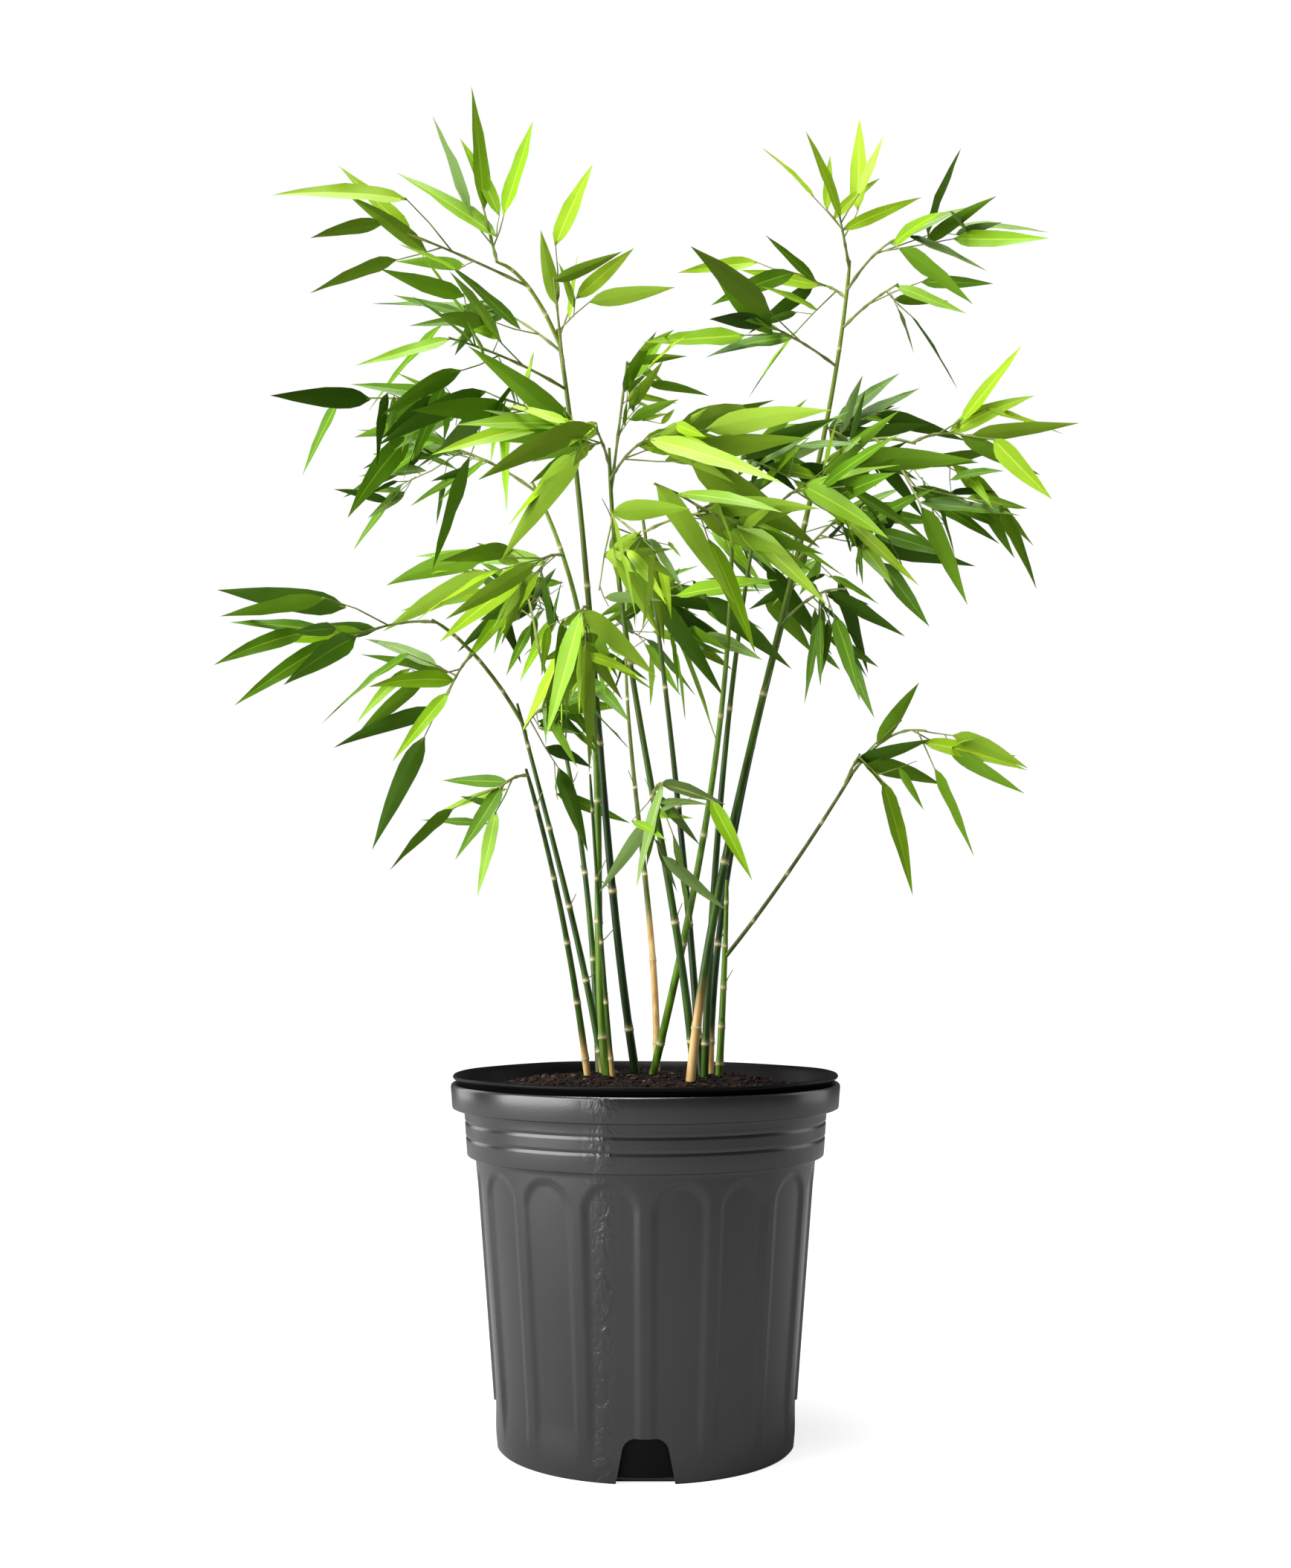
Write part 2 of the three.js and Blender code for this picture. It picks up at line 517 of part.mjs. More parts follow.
function buildBough(row) {
  const host = limbs.get(row.on);
  const start = host.curve.getPoint(row.at);
  const reach = reachOf(row);
  const first = along(along(start, reach, 1 / 3), up, row.arch);
  const second = along(along(start, reach, 2 / 3), up, row.arch);
  const curve = new THREE.CubicBezierCurve3(start, first, second, start.clone().add(reach));
  const limb = { name: row.name, curve, radii: bough.radii };
  limb.solid = largestPiece(toManifold(loft(boughStations(limb, 0))).subtract(host.space));
  limb.space = toManifold(loft(boughStations(limb, gap)));
  limbs.set(row.name, limb);
  addMesh(`bough_${row.name}`, fromManifold(limb.solid), colours.bough, 0.5);
}

// ---- sprays of leaves ----
// Round spots that stand for what has already grown; a new twig or leaf keeps clear of them.
const taken = [];

function stemSpots(from, to, radius, owner) {
  const count = Math.max(2, Math.ceil(from.distanceTo(to) / spray.sampleStep));
  return Array.from({ length: count + 1 }, (_, i) => (
    { centre: from.clone().lerp(to, i / count), radius, owner, leaf: false }));
}

// A leaf's centre line: it droops and curls with the square of the way along.
function spineAt(leaf, share) {
  const across = leaf.normal.clone().cross(leaf.direction);
  const centre = along(along(leaf.root, leaf.direction, leaf.length * share), across,
    leaf.curl * share ** 2);
  return centre.addScaledVector(up, -leaf.sag * share ** 2);
}

const leafSpotShares = [[0.15, 0.6], [0.27, 1], [0.4, 0.9], [0.55, 0.7], [0.7, 0.5], [0.85, 0.3], [1, 0.1]];

function leafSpots(leaf, owner) {
  return leafSpotShares.map(([share, width]) => (
    { centre: spineAt(leaf, share), radius: leaf.width / 2 * width, owner, leaf: true, share }));
}

// Blades of one spray may pass closer together than those of two, and not at their roots.
function isClear(spots, owner, host) {
  return spots.every((spot) => taken.every((other) => {
    const own = other.owner === owner;
    if (own && !(other.leaf && spot.leaf && Math.min(spot.share, other.share) > spray.ownShare)) return true;
    if (!spot.leaf && other.owner === host) return true;
    const room = (spot.radius + other.radius) * (own ? spray.ownRoom : 1) + gap * 2;
    return spot.centre.distanceToSquared(other.centre) > room * room;
  }));
}

// The rule that every spray grows by: one stem, side twigs along it, and leaves dealt round the tips
// in turn, from the lowest to the highest of the fan. What is not clear is drawn again, and at last
// left out.
function growStem(row, index) {
  const dice = makeDice(spray.seed * 1000 + index);
  const start = limbs.get(row.on).curve.getPoint(row.at);
  const reach = reachOf(row);
  const bend = along(along(start, reach, 0.5), up, row.arch);
  const stem = new THREE.QuadraticBezierCurve3(start, bend, start.clone().add(reach));
  const heading = headingOf(row.facing ?? row.heading);
  const owner = `spray_${row.name}`;
  for (let i = 0; i < spray.stemMarks; i++) {
    const [from, to] = [i, i + 1].map((mark) => stem.getPoint(mark / spray.stemMarks));
    taken.push(...stemSpots(from, to, spray.stemRadii[0], owner));
  }
  return { row, dice, stem, heading, owner, tips: [] };
}

const strayOf = (growth) => degrees(growth.row.swing) * (growth.dice() * 2 - 1);

function growTwigs(growth) {
  const { row, dice, stem, heading, owner, tips } = growth;
  const stemTip = Math.floor(row.twigs / 2);
  for (let i = 0; i <= row.twigs; i++) {
    if (i === stemTip) {
      tips.push({ base: stem.getPoint(spray.tipFrom), end: stem.getPoint(1), side: false });
      continue;
    }
    const share = ((i + 0.5) / (row.twigs + 1)) * 2 - 1;
    for (let attempt = 0; attempt < spray.tries; attempt++) {
      const base = stem.getPoint(mix(...spray.twigSpan, dice()));
      const lift = share * spray.twigFan + (dice() - 0.5) * spray.twigStray;
      const elevation = degrees(row.aim + row.fan * lift);
      const direction = toward(heading, elevation, strayOf(growth));
      const end = along(base, direction, row.twig * mix(...spray.twigLength, dice()));
      const spots = stemSpots(base, end, spray.twigRadii[0], owner);
      if (isClear(spots, owner, row.on)) {
        tips.push({ base, end, side: true });
        taken.push(...spots);
        break;
      }
    }
  }
}

function drawLeaf(growth, root, place) {
  const { row, dice, heading } = growth;
  const share = (place + mix(...leafShape.placeSpan, dice())) / row.leaves;
  const direction = toward(heading, degrees(row.aim + row.fan * (share * 2 - 1)), strayOf(growth));
  const length = row.leaf * mix(...leafShape.lengths, dice());
  const tilt = degrees((dice() - 0.5) * leafShape.tilt);
  const normal = levelSideOf(direction).applyAxisAngle(direction, tilt);
  const width = length * mix(...leafShape.widths, dice());
  const sag = length * mix(...leafShape.sags, dice());
  const curl = (dice() - 0.5) * leafShape.curl * length;
  return { root, direction, normal, length, width, sag, curl };
}

function growLeaves(growth) {
  const { row, owner, tips } = growth;
  tips.forEach((tip, i) => {
    const length = tip.end.distanceTo(tip.base);
    tip.leaves = [];
    for (let place = i, j = 0; place < row.leaves; place += tips.length, j++) {
      const back = (spray.tipMargin + j * spray.spacing) / length;
      const root = tip.base.clone().lerp(tip.end, Math.max(spray.lowestRoot, 1 - back));
      for (let attempt = 0; attempt < spray.tries; attempt++) {
        const leaf = drawLeaf(growth, root, place);
        const spots = leafSpots(leaf, owner);
        if (isClear(spots, owner, row.on)) {
          tip.leaves.push(leaf);
          taken.push(...spots);
          break;
        }
      }
    }
  });
}

// A leaf: a three-sided root sunk in its twig, a keeled blade and a sharp tip.
function leafSolid(leaf) {
  const across = leaf.normal.clone().cross(leaf.direction);
  const section = (centre, width, keel) => [along(centre, across, width / 2),
    along(centre, across, -width / 2), along(centre, leaf.normal, -keel)];
  const rootCentre = along(leaf.root, leaf.normal, leafShape.rootKeel / 2);
  const root = section(rootCentre, leafShape.rootWidth, leafShape.rootKeel);
  const keel = leafShape.keel * leaf.length + leafShape.keelBase;
  const blade = section(spineAt(leaf, leafShape.widest), leaf.width, keel);
  const points = [...root, ...blade, spineAt(leaf, 1)].flatMap((p) => [p.x, p.y, p.z]);
  const faces = [0, 2, 1];
  for (let i = 0; i < 3; i++) {
    const j = (i + 1) % 3;
    faces.push(i, j, j + 3, i, j + 3, i + 3, i + 3, j + 3, 6);
  }
  return toManifold(geometryOf(points, faces));
}

function twigSolid(base, end) {
  const axis = end.clone().sub(base).normalize();
  const [thick, thin] = spray.twigRadii;
  return toManifold(loft([ringAt(base, axis, thick, 3), ringAt(end, axis, thin, 3)]));
}

function stemSolid(stem) {
  const rings = Array.from({ length: spray.stemSteps + 1 }, (_, i) => {
    const t = i / spray.stemSteps;
    return ringAt(stem.getPoint(t), stem.getTangent(t), mix(...spray.stemRadii, t), 3);
  });
  return toManifold(loft(rings));
}

const boxesMeet = (a, b) => [0, 1, 2].every((i) => a.min[i] < b.max[i] && b.min[i] < a.max[i]);
const bodyOf = (solid, owner) => ({ solid, box: solid.boundingBox(), owner });
const meets = (piece, others) => others.some((other) => (
  boxesMeet(piece.box, other.box) && piece.solid.intersect(other.solid).volume() > tolerance));

const grown = []; // exact bodies of the limbs and the sprays so far

// Fuses a spray's stem, twigs and leaves, and drops any piece that an exact test still finds to touch
// another body.
function buildSpray({ row, stem, tips, owner }) {
  const host = limbs.get(row.on);
  const others = grown.filter((item) => item.owner !== row.on && item.owner !== owner);
  const walls = [...others, bodyOf(host.space, row.on)];
  const pieces = [bodyOf(stemSolid(stem), owner)];
  for (const tip of tips) {
    const twig = tip.side ? [bodyOf(twigSolid(tip.base, tip.end), owner)] : [];
    if (twig.length && meets(twig[0], others)) continue;
    const blades = tip.leaves.map((leaf) => bodyOf(leafSolid(leaf), owner));
    pieces.push(...twig, ...blades.filter((blade) => !meets(blade, walls)));
  }
  const joined = pieces.map((piece) => piece.solid).reduce((all, piece) => all.add(piece));
  grown.push(...pieces);
  addMesh(owner, fromManifold(largestPiece(joined.subtract(host.space))), colours.leaf, 0.5);
}

// ---- assembly ----
addMesh('pot', buildPot(), colours.pot, 0.4);
addMesh('liner', buildLiner(), colours.liner, 0.5);
addMesh('soil', buildSoil(), colours.soil, 0.95);
canes.forEach(buildCane);
boughs.forEach(buildBough);
for (const limb of limbs.values()) {
  grown.push(bodyOf(limb.space, limb.name));
  const steps = Math.ceil(limb.curve.getLength() / spray.sampleStep);
  for (let i = 0; i <= steps; i++) {
    const t = i / steps;
    taken.push({ centre: limb.curve.getPoint(t), radius: limbRadius(limb, t) * cane.swell,
      owner: limb.name, leaf: false });
  }
}
const growths = sprays.map(growStem);
growths.forEach(growTwigs);
growths.forEach(growLeaves);
growths.forEach(buildSpray);

export default group;
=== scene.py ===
import math
import bpy
import numpy as np
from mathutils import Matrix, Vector


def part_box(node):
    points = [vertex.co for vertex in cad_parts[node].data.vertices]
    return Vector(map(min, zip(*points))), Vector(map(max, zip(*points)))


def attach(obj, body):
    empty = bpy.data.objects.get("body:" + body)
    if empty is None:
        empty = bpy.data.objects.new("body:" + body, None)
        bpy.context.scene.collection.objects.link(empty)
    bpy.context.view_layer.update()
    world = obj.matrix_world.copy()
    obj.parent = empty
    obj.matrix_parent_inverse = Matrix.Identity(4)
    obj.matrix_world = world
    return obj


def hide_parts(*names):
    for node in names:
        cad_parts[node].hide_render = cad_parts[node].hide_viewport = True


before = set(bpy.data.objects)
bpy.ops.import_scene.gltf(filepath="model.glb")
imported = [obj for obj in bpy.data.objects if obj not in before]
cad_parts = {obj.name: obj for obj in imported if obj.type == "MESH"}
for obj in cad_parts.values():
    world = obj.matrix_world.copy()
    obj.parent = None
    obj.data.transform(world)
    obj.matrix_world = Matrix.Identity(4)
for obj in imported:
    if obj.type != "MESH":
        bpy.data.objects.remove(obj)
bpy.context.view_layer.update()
from types import SimpleNamespace as Record

mm = 0.001

print("frame loaded,", len(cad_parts), "nodes")


# numbers and points

def makeDice(seed):  # a repeatable sequence of numbers from 0 to 1
    bits = 0xffffffff
    state = [seed & bits]

    def roll():
        state[0] = (state[0] + 0x6d2b79f5) & bits
        t = state[0]
        t = ((t ^ (t >> 15)) * (t | 1)) & bits
        t = t ^ ((t + (((t ^ (t >> 7)) * (t | 61)) & bits)) & bits)
        return ((t ^ (t >> 14)) & bits) / (bits + 1)
    return roll


def vec(x, y, z):
    return np.array([x, y, z], dtype=float)


up = vec(0, 0, 1)


def onRing(radius, angle, z):
    return vec(radius * math.cos(angle), radius * math.sin(angle), z)


def mix(a, b, share):
    return a + (b - a) * share


def smooth(low, high, value):  # 0 below low, 1 above high, soft between
    t = np.clip((value - low) / (high - low), 0, 1)
    return t * t * (3 - 2 * t)


def unit(v):
    return v / np.linalg.norm(v)


# pieces

def clearSelection():
    bpy.ops.object.select_all(action="DESELECT")


def makeActive(piece):
    clearSelection()
    piece.select_set(True)
    bpy.context.view_layer.objects.active = piece


def shadeSmooth(piece, degrees=50):
    makeActive(piece)
    bpy.ops.object.shade_smooth_by_angle(angle=math.radians(degrees))


def addObject(name, data):
    thing = bpy.data.objects.new(name, data)
    bpy.context.collection.objects.link(thing)
    return thing


def pieceFromArrays(name, points, faces, materials, faceMaterials=None, attributes=None,
                    flat=False):
    mesh = bpy.data.meshes.new(name)
    mesh.from_pydata((np.asarray(points) * mm).tolist(), [], faces)
    for material in materials:
        mesh.materials.append(material)
    if faceMaterials is not None:
        mesh.polygons.foreach_set("material_index", np.asarray(faceMaterials, dtype=np.int32))
    for label, values in (attributes or {}).items():
        layer = mesh.attributes.new(label, "FLOAT", "POINT")
        layer.data.foreach_set("value", np.asarray(values, dtype=np.float32))
    mesh.update()
    piece = addObject(name, mesh)
    if not flat:
        shadeSmooth(piece)
    return piece


def giveMaterial(piece, material):
    piece.data.materials.clear()
    piece.data.materials.append(material)


def finishPiece(piece, slot, *nodes):
    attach(piece, "root")
    if nodes:
        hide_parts(*nodes)


# materials

def newMaterial(name, colour, roughness, specular):
    material = bpy.data.materials.new(name)
    material.use_nodes = True
    tree = material.node_tree
    shader = tree.nodes["Principled BSDF"]
    for label, value in (("Base Color", colour), ("Roughness", roughness),
                         ("Specular IOR Level", specular)):
        feed(tree, value, shader.inputs[label])
    return material, tree, shader


def feed(tree, source, socket):  # from another node's output, or a plain value
    if isinstance(source, bpy.types.NodeSocket):
        tree.links.new(source, socket)
    elif socket.type == "RGBA":
        socket.default_value = (*source, 1)
    else:
        socket.default_value = source


def addNode(tree, kind, **inputs):
    node = tree.nodes.new("ShaderNode" + kind)
    for label, source in inputs.items():
        feed(tree, source, node.inputs[label.replace("_", " ")])
    return node


def ownPlace(tree, axis=None):  # the piece's own coordinates, or one of them
    place = addNode(tree, "TexCoord").outputs["Object"]
    return addNode(tree, "SeparateXYZ", Vector=place).outputs[axis] if axis else place


def objectNoise(tree, scale, detail=3, stretch=(1, 1, 1), distortion=0):
    turned = addNode(tree, "Mapping", Vector=ownPlace(tree), Scale=stretch).outputs["Vector"]
    noise = addNode(tree, "TexNoise", Vector=turned, Scale=scale, Detail=detail,
                    Distortion=distortion)
    return noise.outputs["Fac"]


def calculate(tree, operation, *sources, kind="Math"):
    node = addNode(tree, kind)
    node.operation = operation
    for source, socket in zip(sources, node.inputs):
        feed(tree, source, socket)
    return node.outputs["Value"]


def mapRange(tree, source, start, end):  # the span start becomes the span end, held outside it
    node = addNode(tree, "MapRange", Value=source, From_Min=start[0], From_Max=start[1],
                   To_Min=end[0], To_Max=end[1])
    return node.outputs["Result"]


def colourRamp(tree, source, stops, colours):
    ramp = addNode(tree, "ValToRGB", Fac=source)
    for element, place, colour in zip(ramp.color_ramp.elements, stops, colours):
        element.position = place
        element.color = (*colour, 1)
    return ramp.outputs["Color"]


def mixColours(tree, share, first, second):
    node = addNode(tree, "Mix")
    node.data_type = "RGBA"
    for source, number in ((share, 0), (first, 6), (second, 7)):  # factor and the two colours
        feed(tree, source, node.inputs[number])
    return node.outputs[2]


def addBump(tree, shader, height, strength, distance, after=None):
    bump = addNode(tree, "Bump", Height=height, Strength=strength, Distance=distance)
    if after is not None:
        feed(tree, after, bump.inputs["Normal"])
    feed(tree, bump.outputs["Normal"], shader.inputs["Normal"])
    return bump.outputs["Normal"]


def grainyMaterial(name, look, tones=None):  # one noise sets its colour, roughness and bump
    tones = tones or look["tones"]
    low, high = look["roughness"]
    material, tree, shader = newMaterial(name, tones[0], low, look["specular"])
    noise = objectNoise(tree, *look["noise"])
    tint = colourRamp(tree, noise, look["stops"], tones)
    feed(tree, tint, shader.inputs["Base Color"])
    feed(tree, mapRange(tree, noise, (0, 1), (low, high)), shader.inputs["Roughness"])
    if "bump" in look:
        addBump(tree, shader, noise, *look["bump"])
    return material, tree, shader, noise, tint


# the pot: turned ring by ring from a circle, its panels pressed in, its slots cut
pot = {
    "columns": 16 * 28, "baseRadius": 113.5, "shoulderRadius": 131.5, "shoulderZ": 217,
    "collarRadii": (138, 140.5), "bandZ": 253, "bandRadii": (149.8, 151), "height": 272,
    "wall": 4.2, "collarWall": 2.2, "floor": 3.5, "footEdge": 1.2,
    "grooves": (232.0, 243.4), "grooveDepth": 0.7, "grooveReach": 1.5,
    "grooveRows": (-2.6, -1.5, -0.7, 0, 0.7, 1.5, 2.6), "smoothAngle": 38,
    # heights of the wall's rings: first, last and how many
    "wallRings": ((10, 38, 9), (56, 186, 8), (189, 214, 17)),
    # roundings, each as what is added to the radius there, and the height
    "shoulderRows": ((0, 215.6), (0.5, 216.6)),
    "collarRows": ((-1.4, 217.2), (-0.3, 217.8), (0, 219)),
    "bandFootRows": ((-0.1, 250.8), (0.3, 252.3)),
    "bandRows": ((-1.6, 253.2), (-0.3, 253.8), (0, 255), (0.5, 262)),
    "rimRows": ((0, -2.6), (-0.3, -0.9), (-1.2, 0), (-3.5, 0), (-4.1, -1)),  # height from the top
}
panel = {"count": 16, "halfWidth": 9.5, "slope": 2.1, "depth": 2.5, "fadeZ": (8, 44),
         "springZ": 190}
notch = {"count": 4, "halfWidths": (22.2, 15), "height": 32, "corner": 8, "cornerSteps": 6,
         "inner": 104, "outer": 129, "below": 6}

# noise as scale, detail, stretch and distortion, and bumps as strength and depth
plastic = {
    "tones": ((0.010, 0.0105, 0.011), (0.017, 0.0175, 0.018)), "stops": (0.3, 0.7),
    "noise": (9, 4), "roughness": (0.19, 0.31), "specular": 0.85,
    "scuff": (160, 5, (1, 1, 0.25)), "scuffSpan": (0.66, 0.8), "scuffShares": (0, 0.28),
    "scuffColour": (0.05, 0.051, 0.052), "pores": (420, 3), "poreBump": (0.12, 0.0004),
    "crinkle": (130, 4, (1, 1, 0.6), 1.6), "crinkleX": -0.030, "crinkleReach": 0.015,
    "crinkleBump": (0.7, 0.0018),
}


def wallRadius(z):
    return mix(pot["baseRadius"], pot["shoulderRadius"], z / pot["shoulderZ"])


def rowsFrom(radius, z, rows):
    return [(radius + out, z + rise) for out, rise in rows]


def innerCorners(collarInset, wallInset, lift, floorZ):  # this far inside, from the top down
    return [(pot["collarRadii"][1] - collarInset, pot["bandZ"] - 2 + lift),
            (pot["shoulderRadius"] - wallInset, pot["shoulderZ"] - 1 + lift),
            (wallRadius(pot["floor"]) - wallInset, floorZ)]


def potProfile():  # outside from the foot up, over the rim and down inside: radius, height
    low, high = pot["collarRadii"]
    bandLow, bandHigh = pot["bandRadii"]
    shoulderZ, edge = pot["shoulderZ"], pot["footEdge"]
    rows = [(wallRadius(0) - edge, 0), (wallRadius(0), edge)]
    for span in pot["wallRings"]:
        rows += [(wallRadius(z), z) for z in np.linspace(*span)]
    rows += rowsFrom(pot["shoulderRadius"], 0, pot["shoulderRows"])
    rows += rowsFrom(low, 0, pot["collarRows"])
    for groove in pot["grooves"]:
        for offset in pot["grooveRows"]:
            z = groove + offset
            depth = pot["grooveDepth"] * max(0, 1 - abs(offset) / pot["grooveReach"])
            rows.append((mix(low, high, (z - shoulderZ) / (pot["bandZ"] - shoulderZ)) - depth, z))
    rows += rowsFrom(high, 0, pot["bandFootRows"]) + rowsFrom(bandLow, 0, pot["bandRows"])
    rows += rowsFrom(bandHigh, pot["height"], pot["rimRows"])
    return rows + innerCorners(pot["collarWall"], pot["wall"], 0, pot["floor"])


def turnedPiece(name, profile, columns):
    # starts as a filled circle at the first row and is drawn up row by row
    clearSelection()
    radius, z = profile[0]
    bpy.ops.mesh.primitive_circle_add(vertices=columns, radius=radius * mm,
                                      location=(0, 0, z * mm), fill_type="NGON")
    piece = bpy.context.object
    piece.name = name
    piece.data.name = name
    bpy.ops.object.transform_apply(location=True, rotation=True, scale=True)
    bpy.ops.object.mode_set(mode="EDIT")
    bpy.ops.mesh.select_all(action="SELECT")
    for nextRadius, nextZ in profile[1:]:
        bpy.ops.mesh.extrude_region_move(
            TRANSFORM_OT_translate={"value": (0, 0, (nextZ - z) * mm)})
        share = nextRadius / radius
        bpy.ops.transform.resize(value=(share, share, 1), center_override=(0, 0, nextZ * mm))
        radius, z = nextRadius, nextZ
    bpy.ops.mesh.select_all(action="SELECT")
    bpy.ops.mesh.normals_make_consistent(inside=False)
    bpy.ops.object.mode_set(mode="OBJECT")
    return piece


def pressPanels(piece):
    spots = np.empty(len(piece.data.vertices) * 3)
    piece.data.vertices.foreach_get("co", spots)
    spots = spots.reshape(-1, 3) / mm
    radius, z = np.hypot(spots[:, 0], spots[:, 1]), spots[:, 2]
    angle = np.degrees(np.arctan2(spots[:, 1], spots[:, 0])) + 90
    step = 360 / panel["count"]
    offset = (angle % step) - step / 2
    # the rise above the springing, in degrees of the wall's circle as the offset is
    rise = np.maximum(z - panel["springZ"], 0) / np.radians(1) / wallRadius(panel["springZ"])
    reach = np.hypot(offset, rise)  # straight sides that close in a round arch
    pressed = 1 - smooth(panel["halfWidth"] - panel["slope"], panel["halfWidth"], reach)
    pressed *= smooth(*panel["fadeZ"], z)
    outside = (radius > wallRadius(z) - 1) & (z < pot["shoulderZ"] - 1) & (radius > 1)
    keep = np.where(outside, 1 - panel["depth"] * pressed / np.maximum(radius, 1), 1)
    spots[:, :2] *= keep[:, None]
    piece.data.vertices.foreach_set("co", (spots * mm).ravel())
    piece.data.update()


def notchCutter(turn):
    clearSelection()
    inner, outer, below = notch["inner"], notch["outer"], notch["below"]
    place = ((inner + outer) / 2 * mm, 0, (notch["height"] - below) / 2 * mm)
    bpy.ops.mesh.primitive_cube_add(size=1, location=place)
    cutter = bpy.context.object
    cutter.scale = ((outer - inner) * mm, mm, (notch["height"] + below) * mm)
    bpy.ops.object.transform_apply(location=True, rotation=True, scale=True)
    for vertex in cutter.data.vertices:  # the sides lean in towards the top
        half = notch["halfWidths"][1 if vertex.co.z > 0 else 0]
        vertex.co.y = math.copysign(half * mm, vertex.co.y)
    bpy.ops.object.mode_set(mode="EDIT")
    bpy.ops.mesh.select_all(action="DESELECT")
    bpy.ops.object.mode_set(mode="OBJECT")
    for edge in cutter.data.edges:  # the two upper edges that run in and out are rounded
        a, b = (cutter.data.vertices[i].co for i in edge.vertices)
        edge.select = a.z > 0 and b.z > 0 and abs(a.y - b.y) < mm
    bpy.ops.object.mode_set(mode="EDIT")
    bpy.ops.mesh.select_mode(type="EDGE")
    bpy.ops.mesh.bevel(offset=notch["corner"] * mm, segments=notch["cornerSteps"])
    bpy.ops.mesh.select_all(action="SELECT")
    bpy.ops.transform.rotate(value=-turn, orient_axis="Z", center_override=(0, 0, 0))
    bpy.ops.object.mode_set(mode="OBJECT")
    return cutter


def charcoalPlastic():
    material, tree, shader, _, tint = grainyMaterial("charcoalPlastic", plastic)
    scuffs = mapRange(tree, objectNoise(tree, *plastic["scuff"]), plastic["scuffSpan"],
                      plastic["scuffShares"])
    feed(tree, mixColours(tree, scuffs, tint, plastic["scuffColour"]), shader.inputs["Base Color"])
    skin = addBump(tree, shader, objectNoise(tree, *plastic["pores"]), *plastic["poreBump"])
    # a narrow crinkled band runs down the wall left of the middle
    away = calculate(tree, "SUBTRACT", ownPlace(tree, "X"), plastic["crinkleX"])
    band = mapRange(tree, calculate(tree, "ABSOLUTE", away), (0, plastic["crinkleReach"]), (1, 0))
    crinkle = calculate(tree, "MULTIPLY", objectNoise(tree, *plastic["crinkle"]), band)
    addBump(tree, shader, crinkle, *plastic["crinkleBump"], skin)
    return material


def buildPot():
    piece = turnedPiece("nurseryPot", potProfile(), pot["columns"])
    pressPanels(piece)
    for i in range(notch["count"]):
        cutter = notchCutter(-math.pi / 2 + i / notch["count"] * 2 * math.pi)
        cut = piece.modifiers.new("slot", "BOOLEAN")
        cut.operation = "DIFFERENCE"
        cut.object = cutter
        makeActive(piece)
        bpy.ops.object.modifier_apply(modifier="slot")
        bpy.data.objects.remove(cutter)
    giveMaterial(piece, charcoalPlastic())
    shadeSmooth(piece, pot["smoothAngle"])
    finishPiece(piece, "pot", "pot")
    print("pot done,", len(piece.data.polygons), "faces")


# the liner: a thin black inner pot with a wavy turned-out lip
liner = {
    "columns": 180, "wall": 1.8, "gap": 0.3, "throatRadius": 145, "lipRadius": 149.5,
    "lipZ": 277, "topZ": 279.4, "wave": 0.5, "waveSpan": (272, 278),
    "waves": ((3, 1, 0.6), (7, 0, 0.4)),  # times round, turn and share
    # roundings, each as what is added to the radius and to the height there
    "throatRows": ((-0.8, -1), (0.3, 1.6)), "flareRows": ((-2.4, -1.4), (-0.4, 0)),
    "lipRows": ((0, -1.4), (-0.5, -0.3), (-1.5, 0), (-2.8, -0.6)), "turnRows": ((-4.4, -0.6),),
    "collarInset": 4.4, "wallInset": 6.4,  # its inside from the pot's outside
    "tones": ((0.003, 0.003, 0.0032),) * 2, "stops": (0, 1), "specular": 0.12,
    "roughness": (0.34, 0.56), "noise": (30, 3), "bump": (0.2, 0.0008),
}


def linerProfile():
    gap, throat, lip, lipZ = (liner[key] for key in ("gap", "throatRadius", "lipRadius", "lipZ"))
    low, top = pot["floor"] + gap, pot["height"]
    outside = innerCorners(pot["collarWall"] + gap, pot["wall"] + gap, 0, low) + [(0.5, low)]
    over = (rowsFrom(throat, top, liner["throatRows"]) + rowsFrom(lip, lipZ, liner["flareRows"])
            + rowsFrom(lip, liner["topZ"], liner["lipRows"])
            + rowsFrom(lip, lipZ, liner["turnRows"]) + [(throat - liner["wall"], top + 1)])
    inside = innerCorners(liner["collarInset"], liner["wallInset"], 1, low + liner["wall"])
    return outside[::-1] + over + inside


def buildLiner():
    piece = turnedPiece("innerPot", linerProfile(), liner["columns"])
    start, end = (height * mm for height in liner["waveSpan"])
    for vertex in piece.data.vertices:  # the lip is a little wavy
        x, y, z = vertex.co
        angle = math.atan2(y, x)
        wave = sum(math.sin(times * angle + turn) * share for times, turn, share in liner["waves"])
        vertex.co.z += (wave - 1) * liner["wave"] * mm * float(smooth(start, end, z))
    giveMaterial(piece, grainyMaterial("blackFilm", liner)[0])
    shadeSmooth(piece)
    finishPiece(piece, "liner", "liner")
    print("liner done")


